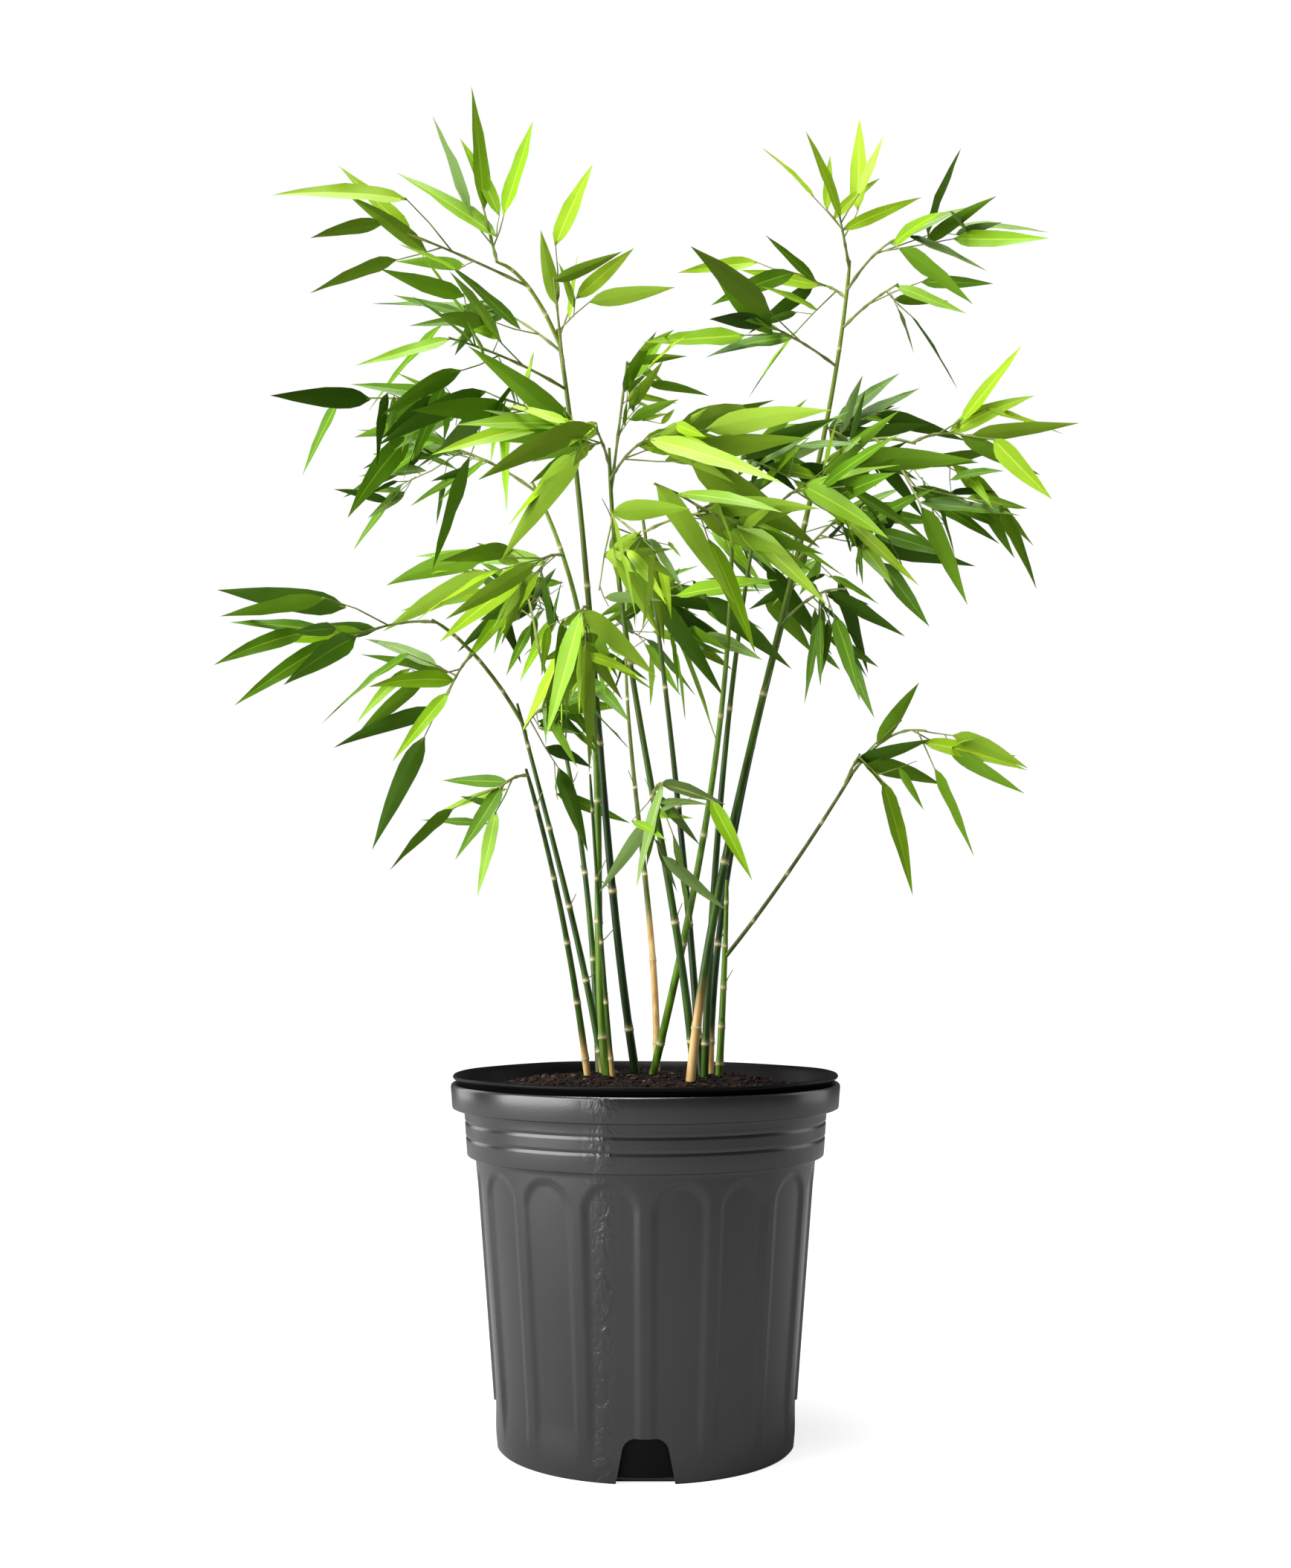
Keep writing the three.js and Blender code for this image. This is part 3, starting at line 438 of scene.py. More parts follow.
# the potting mix: a lumpy plug with loose crumbs and bark on top
mixBed = {
    "rings": 46, "columns": 150, "midZ": 273.8, "flatRadius": 75, "edgeRadius": 137.5, "edgeZ": 266,
    "lowRows": ((131.8, 240), (124.6, 217), (107, 6)), "lump": 1.5,
    "noise": (380, 5), "stops": (0.35, 0.68), "bump": (0.9, 0.002), "roughness": (0.92, 0.92),
    "specular": 0.25, "tones": ((0.004, 0.0026, 0.002), (0.020, 0.011, 0.008)),
}
crumb = {
    "count": 3000, "reach": 134.5, "sizes": (0.7, 2.8), "peatShare": 0.62, "barkShare": 0.8,
    "seed": 77, "stretchLow": (0.7, 0.5, 0.4), "stretchMore": (1, 0.7, 0.5),
    "uneven": (0.8, 1.2), "sunk": 0.25, "tones": {
        "peatCrumb": ((0.005, 0.0032, 0.0025), (0.022, 0.012, 0.009)),
        "barkCrumb": ((0.022, 0.009, 0.006), (0.065, 0.028, 0.018)),
        "paleCrumb": ((0.07, 0.05, 0.034), (0.17, 0.125, 0.09))},
}


def bedHeight(radius, angle):
    fall = smooth(mixBed["flatRadius"], mixBed["edgeRadius"], radius)
    base = mix(mixBed["midZ"], mixBed["edgeZ"], fall)
    x, y = radius * np.cos(angle), radius * np.sin(angle)
    # wide lumps with small ones on them, flatter towards the edge
    wide = np.sin(x * 0.21 + 1.3 * np.sin(y * 0.17)) * np.sin(y * 0.24 + 1.1 * np.sin(x * 0.13))
    small = np.sin(x * 0.83 + 2 * np.sin(y * 0.61)) * np.sin(y * 0.91 + np.sin(x * 0.57))
    return base + mixBed["lump"] * (0.6 * wide + 0.4 * small) * (1 - 0.4 * fall)


def buildBed():
    points, faces = [vec(0, 0, bedHeight(0, 0))], []
    rings, columns = mixBed["rings"], mixBed["columns"]
    angles = [2 * math.pi * k / columns for k in range(columns)]
    for i in range(1, rings + 1):
        radius = mixBed["edgeRadius"] * i / rings
        points += [onRing(radius, angle, bedHeight(radius, angle)) for angle in angles]
    for radius, height in mixBed["lowRows"]:  # down inside the liner to its floor
        points += [onRing(radius, angle, height) for angle in angles]
    last = rings + len(mixBed["lowRows"]) - 1
    for k in range(columns):
        after = (k + 1) % columns
        faces.append((0, 1 + k, 1 + after))
        for i in range(last):
            a, b = 1 + i * columns, 1 + (i + 1) * columns
            faces.append((a + k, b + k, b + after, a + after))
    faces.append(tuple(reversed(range(1 + last * columns, 1 + (last + 1) * columns))))
    skin = grainyMaterial("peatMix", mixBed)[0]
    finishPiece(pieceFromArrays("pottingMix", points, faces, [skin]), "soil", "soil")


def buildCrumbs():
    roll = makeDice(crumb["seed"])
    t = (1 + 5 ** 0.5) / 2  # the golden ratio: a crumb is a dented twenty-sided shape
    shape = np.array([np.roll((a, b, 0), shift)
                      for shift in range(3) for b in (t, -t) for a in (-1, 1)]) / 1.9
    sides = [(0, 11, 5), (0, 5, 1), (0, 1, 7), (0, 7, 10), (0, 10, 11), (1, 5, 9), (5, 11, 4),
             (11, 10, 2), (10, 7, 6), (7, 1, 8), (3, 9, 4), (3, 4, 2), (3, 2, 6), (3, 6, 8),
             (3, 8, 9), (4, 9, 5), (2, 4, 11), (6, 2, 10), (8, 6, 7), (9, 8, 1)]
    points, faces, kinds = [], [], []
    for _ in range(crumb["count"]):
        radius = crumb["reach"] * math.sqrt(roll())
        angle = 2 * math.pi * roll()
        size = mix(*crumb["sizes"], roll() ** 2.5)
        stretch = size * vec(*(low + more * roll() for low, more in
                               zip(crumb["stretchLow"], crumb["stretchMore"])))
        turn = 2 * math.pi * roll()
        dents = np.array([[mix(*crumb["uneven"], roll())] for _ in shape])
        x, y, z = (shape * dents * stretch).T
        middle = onRing(radius, angle, bedHeight(radius, angle) + size * crumb["sunk"])
        c, s = math.cos(turn), math.sin(turn)
        first = len(points)
        points.extend(np.stack([x * c - y * s, x * s + y * c, z], 1) + middle)
        faces.extend((a + first, b + first, c + first) for a, b, c in sides)
        kind = 0 if roll() < crumb["peatShare"] else 1 if roll() < crumb["barkShare"] else 2
        kinds.extend([kind] * len(sides))
    tones = [grainyMaterial(name, mixBed, pair)[0] for name, pair in crumb["tones"].items()]
    finishPiece(pieceFromArrays("looseCrumbs", points, faces, tones, kinds, flat=True), "soil")
    print("potting mix done")


# canes: foot, tip, lean at foot and tip in mm for each mm of rise, radii at both ends, skin, and
# the height up to which it is tan
canes = {
    "outer_left": ([-46, 22], [-90, -70, 510], [[-0.12, -0.2], [-0.28, -0.5]], [2.9, 1.5], "green", 300),
    "left": ([-34, 46], [-105, 40, 575], [[-0.16, 0], [-0.26, 0]], [3.1, 1.4], "green", 282),
    "left_back": ([-38, 62], [-95, 150, 640], [[-0.04, 0.2], [-0.32, 0.25]], [3.0, 1.2], "green", 0),
    "left_thick": ([-31, 26], [-95, 60, 765], [[-0.12, 0.05], [-0.5, 0.1]], [3.7, 1.5], "fresh", 0),
    "left_thin": ([-26, 12], [-43, -30, 510], [[-0.09, -0.15], [-0.06, -0.2]], [2.0, 1.1], "green", 290),
    "tall_left": ([-8, 50], [-70, -30, 865], [[-0.16, -0.13], [-0.16, -0.13]], [3.5, 1.6], "deep", 0),
    "dry": ([9, 78], [-18, 190, 640], [[0.02, 0.3], [-0.02, 0.3]], [3.1, 1.2], "dry", 398),
    "bright": ([6, 34], [64, -110, 695], [[0.24, -0.35], [-0.02, -0.35]], [3.3, 1.4], "fresh", 0),
    "middle": ([38, -16], [-28, -60, 760], [[-0.08, -0.1], [-0.02, -0.1]], [3.4, 1.4], "green", 0),
    "middle_back": ([44, 26], [-4, 120, 760], [[-0.06, 0.2], [-0.14, 0.2]], [3.2, 1.3], "deep", 0),
    "tall_right": ([34, -42], [170, 30, 945], [[0.1, 0.1], [0.1, 0.1]], [3.7, 1.4], "green", 336),
    "right_back": ([52, 44], [130, 160, 690], [[0.02, 0.25], [0.28, 0.3]], [3.1, 1.3], "deep", 300),
    "right": ([46, 4], [87, -40, 710], [[0.04, -0.1], [0.18, -0.1]], [3.2, 1.4], "green", 0),
    "outer_right": ([58, 16], [65, 20, 430], [[0.06, 0.03], [0.02, 0.03]], [3.1, 1.6], "fresh", 0),
}

# boughs: the cane and the place on it, then heading, rise, reach and arch
boughs = {
    "top_left": ("tall_left", 0.98, 210, 45, 80, 18),
    "far_left": ("left", 0.95, 220, 40, 115, 14),
    "low_right": ("outer_right", 0.6, -25, 53, 185, -7),
    "right_arm": ("tall_right", 0.73, -30, 5, 85, 16),
}

# one row a spray; the loose outer ones have few fine twigs and those of the full middle many
sprayFields = ("on", "at", "heading", "rise", "reach", "arch", "twigs", "twig", "leaves", "leaf",
               "aim", "fan", "swing", "facing", "tone", "fineTwigs")
sprays = {
    "tip_left": ("top_left", 0.98, 180, 76, 46, 0, 2, 36, 4, 98, 104, 44, 20, 0, "mid", 1),
    "far_left_top": ("top_left", 0.5, 205, 14, 125, 4, 2, 48, 5, 92, 2, 44, 30, 205, "mid", 1),
    "upper_left_a": ("tall_left", 0.94, -100, 60, 75, 0, 3, 40, 6, 78, 55, 56, 40, 0, "bright", 1),
    "upper_left_b": ("tall_left", 0.97, 165, 35, 80, 8, 3, 52, 7, 82, 2, 42, 45, 165, "deep", 1),
    "upper_left_c": ("tall_left", 0.92, 225, 6, 120, 8, 3, 66, 8, 90, 5, 40, 40, 225, "mid", 1),
    "left_mid_a": ("tall_left", 0.88, 197, 0, 185, 12, 3, 62, 9, 88, -25, 55, 45, 197, "deep", 6),
    "left_mid_b": ("tall_left", 0.86, 235, 5, 85, 6, 3, 55, 7, 88, -18, 52, 50, 235, "mid", 1),
    "left_mid_c": ("left_thick", 0.98, 178, 25, 105, 16, 3, 62, 8, 84, -4, 42, 45, 178, "deep", 12),
    "left_broad": ("left_thick", 0.87, 265, -15, 160, 6, 3, 50, 5, 98, -20, 42, 40, 180, "fresh", 12),
    "far_left": ("far_left", 0.95, 210, -15, 72, 10, 3, 72, 8, 96, -10, 22, 32, 210, "deep", 1),
    "low_left_a": ("far_left", 0.55, 265, -25, 110, 8, 3, 52, 8, 84, -18, 50, 40, 180, "mid", 1),
    "low_left_b": ("outer_left", 0.98, 235, -20, 35, 6, 2, 45, 5, 62, -40, 50, 40, 180, "mid", 1),
    "inner_left": ("left", 0.93, -70, 10, 60, 6, 3, 48, 8, 70, -15, 60, 60, 0, "deep", 12),
    "front_left": ("tall_left", 0.62, -90, -10, 190, 10, 2, 34, 6, 88, -62, 34, 110, -90, "fresh", 12),
    "front_mid": ("middle", 0.85, -90, -5, 160, 8, 3, 50, 6, 82, -40, 50, 110, -90, "bright", 12),
    "front_top": ("middle", 0.97, 265, 0, 110, 8, 3, 50, 7, 96, -4, 40, 60, 180, "fresh", 12),
    "front_right": ("middle", 0.95, -75, 0, 115, 10, 3, 55, 8, 104, 3, 34, 45, 0, "bright", 6),
    "front_low_right": ("bright", 0.97, 225, 15, 85, 8, 3, 52, 8, 98, -26, 42, 45, 0, "fresh", 6),
    "centre_right_a": ("middle_back", 0.95, -50, 0, 90, 8, 3, 55, 8, 88, -12, 42, 60, 0, "deep", 6),
    "centre_right_b": ("bright", 0.99, -50, 75, 60, 8, 3, 55, 8, 88, 0, 40, 60, 0, "deep", 6),
    "right_a": ("right", 0.97, -75, 5, 115, 10, 3, 55, 8, 88, -6, 42, 50, -20, "mid", 6),
    "right_b": ("tall_right", 0.77, 80, 20, 75, 8, 3, 50, 8, 82, 0, 48, 50, 0, "deep", 6),
    "right_c": ("tall_right", 0.61, -40, 30, 80, 12, 3, 50, 8, 88, -18, 42, 45, -40, "deep", 6),
    "far_right": ("right_arm", 0.97, -30, 0, 42, 8, 2, 48, 6, 80, -4, 50, 32, -30, "fresh", 1),
    "right_d": ("right_arm", 0.6, -70, -45, 105, 14, 3, 58, 8, 84, -32, 50, 42, 0, "mid", 6),
    "right_low": ("tall_right", 0.53, -50, 15, 75, 18, 3, 38, 6, 80, -65, 46, 35, -50, "deep", 6),
    "low_right_a": ("low_right", 0.91, -70, 40, 35, 4, 2, 44, 6, 74, -14, 72, 30, 0, "mid", 1),
    "low_right_b": ("low_right", 0.98, -30, 25, 66, 22, 3, 46, 5, 84, -34, 36, 26, -30, "fresh", 1),
    "tip_right": ("tall_right", 0.99, 250, 45, 45, 2, 3, 44, 6, 78, 96, 62, 30, 180, "bright", 1),
    "top_right": ("tall_right", 0.96, -50, 20, 75, 20, 3, 58, 8, 86, -2, 42, 40, -50, "sage", 1),
    "top_right_left": ("tall_right", 0.95, 125, 30, 50, 8, 3, 48, 7, 84, -6, 42, 45, 180, "mid", 1),
    "upper_right_left": ("tall_right", 0.86, 215, 15, 80, 6, 2, 44, 4, 106, 6, 34, 25, 215, "mid", 1),
    "upper_right": ("tall_right", 0.91, -60, 10, 75, 6, 2, 40, 4, 64, -18, 40, 40, 0, "mid", 1),
    "centre_thin": ("middle", 0.93, 50, 80, 110, 0, 3, 44, 7, 62, 40, 50, 60, 0, "fresh", 6),
    "low_centre": ("middle", 0.45, -85, 0, 85, 8, 3, 48, 6, 74, -70, 70, 50, 0, "sage", 6),
    "centre_low_right": ("middle_back", 0.82, -90, -10, 165, 8, 3, 52, 8, 92, -24, 46, 50, 0, "mid", 6),
    "back_left": ("left_back", 0.99, 120, 65, 95, 10, 3, 62, 8, 84, -6, 60, 90, 120, "deep", 12),
    "back_centre": ("dry", 0.98, 90, 65, 105, 10, 3, 62, 8, 84, -10, 50, 90, 90, "mid", 12),
    "back_right": ("right_back", 0.99, 80, 55, 100, 10, 3, 62, 8, 84, -10, 50, 90, 80, "deep", 6),
}

cane = {
    "sides": 12, "swell": 1.25, "rings": 4, "firstRing": 0.06, "lastRing": 0.97, "lengthen": 1.06,
    "foot": 275.3, "stationStep": 14, "ringClear": 11, "boughRings": (0.22, 0.48, 0.74),
    "sway": 0.03, "seed": 500, "tipShare": 0.7, "tanFade": (-14, 16),
    # the ridge at a ring: how far along from it, share of the radius, and share of the pale tint
    "ridge": ((-5, 1.0, 0), (-2.2, 1.02, 0.05), (-1.0, 1.14, 0.45), (-0.2, 1.2, 1),
              (0.7, 1.04, 0.9), (1.6, 1.12, 0.5), (2.8, 1.06, 0.12), (5.5, 1.0, 0), (9, 0.98, 0)),
}
boughRadii = (1.7, 1.3)

spray = {
    "seed": 11, "tries": 12, "stemRadius": 1.9, "twigRadius": 0.85, "twigSpan": (0.25, 0.95),
    "twigLength": (0.55, 1.25), "twigFan": 0.8, "twigStray": 0.5, "tipFrom": 0.6,
    "tipMargin": 2.5, "spacing": 24, "lowestRoot": 0.3, "stemMarks": 12, "sampleStep": 8,
    "ownShare": 0.2, "ownRoom": 0.75, "gap": 0.3,
}
leafShape = {"lengths": (0.72, 1.12), "widths": (0.15, 0.21), "sags": (0.02, 0.12), "curl": 0.16,
             "tilt": 100, "placeSpan": (0.1, 0.9)}
leafSpotShares = ((0.15, 0.6), (0.27, 1), (0.4, 0.9), (0.55, 0.7), (0.7, 0.5), (0.85, 0.3),
                  (1, 0.1))  # places along a leaf and shares of its width


def along(handles, t):  # the point at t on the curve that these handles draw
    while len(handles) > 1:
        handles = [mix(a, b, t) for a, b in zip(handles, handles[1:])]
    return handles[0]


def headingAt(handles, t):
    while len(handles) > 2:
        handles = [mix(a, b, t) for a, b in zip(handles, handles[1:])]
    return unit(handles[1] - handles[0])


def lengthOf(handles, steps=200):
    spots = [along(handles, i / steps) for i in range(steps + 1)]
    return sum(np.linalg.norm(b - a) for a, b in zip(spots, spots[1:]))


def headingOf(degrees):
    return onRing(1, math.radians(degrees), 0)


def toward(heading, elevation, swing):  # a level heading, swung sideways and raised
    c, s = math.cos(swing), math.sin(swing)
    flat = vec(heading[0] * c - heading[1] * s, heading[0] * s + heading[1] * c, 0)
    return flat * math.cos(elevation) + up * math.sin(elevation)


def spanOf(heading, rise, reach):
    return toward(headingOf(heading), math.radians(rise), 0) * reach


def levelSideOf(axis):
    length = math.hypot(axis[0], axis[1])
    return vec(1, 0, 0) if length < 1e-3 else vec(axis[1] / length, -axis[0] / length, 0)


def turnAbout(v, axis, angle):
    c, s = math.cos(angle), math.sin(angle)
    return v * c + np.cross(axis, v) * s + axis * (np.dot(axis, v) * (1 - c))


limbs = {}
for name, (foot, tip, lean, radii, skin, tan) in canes.items():
    a, d = vec(*foot, cane["foot"]), vec(*tip)
    third = (d[2] - a[2]) / 3
    low, high = (vec(x, y, 1) * third for x, y in lean)
    limbs[name] = Record(handles=(a, a + low, d - high, d), radii=radii, skin=skin, tan=tan)
for name, (on, at, heading, rise, reach, arch) in boughs.items():
    a = along(limbs[on].handles, at)
    span = spanOf(heading, rise, reach)
    middle = (a + span / 3 + up * arch, a + span * 2 / 3 + up * arch)
    limbs[name] = Record(handles=(a, *middle, a + span), radii=boughRadii, skin="bough", tan=0)
print("limbs laid out,", len(limbs))


# the growing rule: the same as the solids', so twigs and leaves stand where theirs do
class Taken:  # round spots that stand for what has grown
    def __init__(self, most=60000):
        self.centre = np.zeros((most, 3))
        self.radius, self.share = np.zeros(most), np.zeros(most)
        self.owner, self.leaf = np.zeros(most, dtype=int), np.zeros(most, dtype=bool)
        self.count = 0
        self.owners = {}

    def number(self, owner):
        return self.owners.setdefault(owner, len(self.owners))

    def add(self, spots, owner):
        for centre, radius, share in spots:
            n = self.count
            self.centre[n], self.radius[n], self.owner[n] = centre, radius, self.number(owner)
            self.leaf[n], self.share[n] = share is not None, share or 0
            self.count += 1

    def isClear(self, spots, owner, host, ownRoom):
        n = self.count
        own = self.owner[:n] == self.number(owner)
        hosted = self.owner[:n] == self.number(host)
        for centre, radius, share in spots:
            if share is None:
                matters = ~own & ~hosted
            else:
                near = self.leaf[:n] & (np.minimum(self.share[:n], share) > spray["ownShare"])
                matters = ~own | near
            room = (radius + self.radius[:n]) * np.where(own, ownRoom, 1) + spray["gap"] * 2
            apart = ((self.centre[:n] - centre) ** 2).sum(1)
            if (matters & (apart <= room * room)).any():
                return False
        return True


taken = Taken()


def claim(growth, spots, room=spray["ownRoom"]):  # takes the spots if they are clear
    isClear = taken.isClear(spots, growth.owner, growth.row.on, room)
    if isClear:
        taken.add(spots, growth.owner)
    return isClear


def stemSpots(start, end, radius):
    count = max(2, math.ceil(np.linalg.norm(end - start) / spray["sampleStep"]))
    return [(start + (end - start) * (i / count), radius, None) for i in range(count + 1)]


def spineAt(leaf, share):
    across = np.cross(leaf.normal, leaf.direction)
    return (leaf.root + leaf.direction * (leaf.length * share)
            + across * (leaf.curl * share ** 2) - up * (leaf.sag * share ** 2))


def leafSpots(leaf):
    return [(spineAt(leaf, share), leaf.width / 2 * width, share)
            for share, width in leafSpotShares]


def growStem(name, index):
    row = Record(**dict(zip(sprayFields, sprays[name])))
    start = along(limbs[row.on].handles, row.at)
    span = spanOf(row.heading, row.rise, row.reach)
    stem = (start, start + span * 0.5 + up * row.arch, start + span)
    owner = "spray_" + name
    marks = [along(stem, i / spray["stemMarks"]) for i in range(spray["stemMarks"] + 1)]
    for low, high in zip(marks, marks[1:]):
        taken.add(stemSpots(low, high, spray["stemRadius"]), owner)
    return Record(row=row, roll=makeDice(spray["seed"] * 1000 + index), stem=stem, owner=owner,
                  heading=headingOf(row.facing), tips=[], fineTwigs=[])


def strayOf(growth):
    return math.radians(growth.row.swing) * (growth.roll() * 2 - 1)


def growTwigs(growth):
    row, roll, stem, tips = growth.row, growth.roll, growth.stem, growth.tips
    for i in range(row.twigs + 1):
        if i == row.twigs // 2:
            base = along(stem, spray["tipFrom"])
            tips.append(Record(base=base, end=along(stem, 1), side=False))
            continue
        share = ((i + 0.5) / (row.twigs + 1)) * 2 - 1
        for _ in range(spray["tries"]):
            base = along(stem, mix(*spray["twigSpan"], roll()))
            lift = share * spray["twigFan"] + (roll() - 0.5) * spray["twigStray"]
            elevation = math.radians(row.aim + row.fan * lift)
            direction = toward(growth.heading, elevation, strayOf(growth))
            end = base + direction * (row.twig * mix(*spray["twigLength"], roll()))
            if claim(growth, stemSpots(base, end, spray["twigRadius"])):
                tips.append(Record(base=base, end=end, side=True))
                break


def drawLeaf(growth, root, place, size=1.0):
    row, roll = growth.row, growth.roll
    share = (place + mix(*leafShape["placeSpan"], roll())) / row.leaves
    elevation = math.radians(row.aim + row.fan * (share * 2 - 1))
    direction = toward(growth.heading, elevation, strayOf(growth))
    length = row.leaf * size * mix(*leafShape["lengths"], roll())
    tilt = math.radians((roll() - 0.5) * leafShape["tilt"])
    return Record(root=root, direction=direction, length=length,
                  normal=turnAbout(levelSideOf(direction), direction, tilt),
                  width=length * mix(*leafShape["widths"], roll()),
                  sag=length * mix(*leafShape["sags"], roll()),
                  curl=(roll() - 0.5) * leafShape["curl"] * length)


def growLeaves(growth):
    row, tips = growth.row, growth.tips
    for i, tip in enumerate(tips):
        length = np.linalg.norm(tip.end - tip.base)
        tip.leaves = []
        for j, place in enumerate(range(i, row.leaves, len(tips))):
            back = (spray["tipMargin"] + j * spray["spacing"]) / length
            root = mix(tip.base, tip.end, max(spray["lowestRoot"], 1 - back))
            for _ in range(spray["tries"]):
                leaf = drawLeaf(growth, root, place)
                if claim(growth, leafSpots(leaf)):
                    tip.leaves.append(leaf)
                    break


# finer growth: small twigs with smaller leaves off every stem and twig, inside the spray's reach
fine = {
    "perTwig": 2, "tries": 14, "twigLengths": (12, 36), "twigRadius": 0.6, "twigSpan": (0.2, 0.95),
    "stemShare": 0.35, "stemSpan": (0.35, 0.95), "leafSizes": (0.45, 0.9), "leafStep": 0.45,
    "lastPlace": 0.98, "room": 0.42, "margin": 2, "aimSpread": 1.2, "swingSpread": 1.6,
    "mostSwing": 170,
}


def growFiner(growth):
    row, roll = growth.row, growth.roll
    low, high = (np.array(corner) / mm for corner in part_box(growth.owner))
    low, high = low - fine["margin"], high + fine["margin"]
    spread = Record(**vars(row))
    spread.fan *= fine["aimSpread"]
    spread.swing = min(row.swing * fine["swingSpread"], fine["mostSwing"])
    wide = Record(row=spread, roll=roll, heading=growth.heading)
    for _ in range(row.fineTwigs):
        for _ in range(fine["tries"]):
            tip = growth.tips[int(roll() * len(growth.tips))]
            base = mix(tip.base, tip.end, mix(*fine["twigSpan"], roll()))
            if roll() < fine["stemShare"]:
                base = along(growth.stem, mix(*fine["stemSpan"], roll()))
            place = row.leaves * roll() * fine["lastPlace"]
            elevation = math.radians(row.aim + spread.fan * (roll() * 2 - 1))
            direction = toward(growth.heading, elevation, strayOf(wide))
            end = base + direction * mix(*fine["twigLengths"], roll())
            spots = stemSpots(base, end, fine["twigRadius"])
            if (end < low).any() or (end > high).any() or not taken.isClear(
                    spots, growth.owner, row.on, fine["room"]):
                continue
            found = []
            for j in range(fine["perTwig"]):
                root = mix(end, base, fine["leafStep"] * j)
                leaf = drawLeaf(wide, root, place, mix(*fine["leafSizes"], roll()))
                marks = leafSpots(leaf)
                inside = all((centre - radius > low).all() and (centre + radius < high).all()
                             for centre, radius, _ in marks)
                if inside and claim(growth, marks, fine["room"]):
                    found.append(leaf)
            if found:
                taken.add(spots, growth.owner)
                growth.fineTwigs.append(Record(base=base, end=end, leaves=found))
                break


for name, limb in limbs.items():
    steps = math.ceil(lengthOf(limb.handles) / spray["sampleStep"])
    taken.add([(along(limb.handles, i / steps), mix(*limb.radii, i / steps) * cane["swell"],
                None) for i in range(steps + 1)], name)
growths = [growStem(name, index) for index, name in enumerate(sprays)]
for grow in (growTwigs, growLeaves, growFiner):
    for growth in growths:
        grow(growth)
baseLeaves = sum(len(tip.leaves) for growth in growths for tip in growth.tips)
fineLeaves = sum(len(tip.leaves) for growth in growths for tip in growth.fineTwigs)
print("leaves grown:", baseLeaves, "as in the solids and", fineLeaves, "finer")


# meshes of the plant
def tube(points, headings, radii, sides):
    spots, faces = [], []
    for centre, axis, radius in zip(points, headings, radii):
        side = vec(1, 0, 0) - axis * axis[0]
        side = unit(side) if np.linalg.norm(side) > 0.2 else unit(vec(0, 1, 0) - axis * axis[1])
        lift = np.cross(axis, side)
        for i in range(sides):
            x, y, _ = onRing(radius, 2 * math.pi * i / sides, 0)
            spots.append(centre + side * x + lift * y)
    for row in range(len(points) - 1):
        for i in range(sides):
            a, b = row * sides + i, row * sides + (i + 1) % sides
            faces.append((a, b, b + sides, a + sides))
    faces.append(tuple(reversed(range(sides))))
    faces.append(tuple(range((len(points) - 1) * sides, len(points) * sides)))
    return spots, faces


class Bundle:  # gathers many small closed shapes into one mesh
    def __init__(self):
        self.points, self.faces, self.kinds = [], [], []

    def add(self, points, faces, kinds=()):
        first = len(self.points)
        self.points.extend(points)
        self.faces.extend(tuple(i + first for i in face) for face in faces)
        self.kinds.extend(kinds)


def ringPlaces():
    places = [cane["firstRing"]]
    internode = (1 - cane["firstRing"]) / (cane["rings"] + 1)
    while places[-1] + internode < cane["lastRing"]:
        places.append(places[-1] + internode)
        internode *= cane["lengthen"]
    return places


# the tone that canes blend to higher up is partly their own paler colour and partly painted highlight
caneLook = {
    "noise": (190, 4, (1, 1, 0.035)), "cloud": (26, 3, (1, 1, 0.4)), "bump": (0.35, 0.0005),
    "stops": (0.38, 0.62), "roughness": (0.28, 0.46), "specular": 0.32,
    "dryStops": (0.3, 0.7), "dryTones": ((0.50, 0.27, 0.075), (0.88, 0.62, 0.25)),
    "ringTone": (0.62, 0.55, 0.28), "highTintAndSheen": (0.26, 0.36, 0.035), "highTintHeights": (0.5, 0.9),
    "highTintShares": (0, 0.75),
}
caneTones = {
    "deep": ((0.003, 0.012, 0.002), (0.020, 0.060, 0.004)),
    "green": ((0.006, 0.024, 0.002), (0.060, 0.150, 0.006)),
    "fresh": ((0.025, 0.075, 0.003), (0.18, 0.36, 0.012)),
    "dry": ((0.03, 0.055, 0.006), (0.14, 0.19, 0.02)),
    "bough": ((0.03, 0.060, 0.005), (0.16, 0.24, 0.02)),
}


def caneMaterial(name, dark, light):
    material, tree, shader, streaks, body = grainyMaterial(name, caneLook, (dark, light))
    middle = tuple(0.5 * (a + b) for a, b in zip(dark, light))
    body = mixColours(tree, objectNoise(tree, *caneLook["cloud"]), body, middle)
    # lighter and yellower higher up: partly the canes' own colour, partly painted highlight
    highTintAndSheenShare = mapRange(tree, ownPlace(tree, "Z"), caneLook["highTintHeights"], caneLook["highTintShares"])
    body = mixColours(tree, highTintAndSheenShare, body, caneLook["highTintAndSheen"])  # yellower towards the tips
    dry = colourRamp(tree, streaks, caneLook["dryStops"], caneLook["dryTones"])
    for label, colour in (("dryShare", dry), ("ringShare", caneLook["ringTone"])):
        share = addNode(tree, "Attribute")
        share.attribute_name = label
        body = mixColours(tree, share.outputs["Fac"], body, colour)
    feed(tree, body, shader.inputs["Base Color"])
    return material


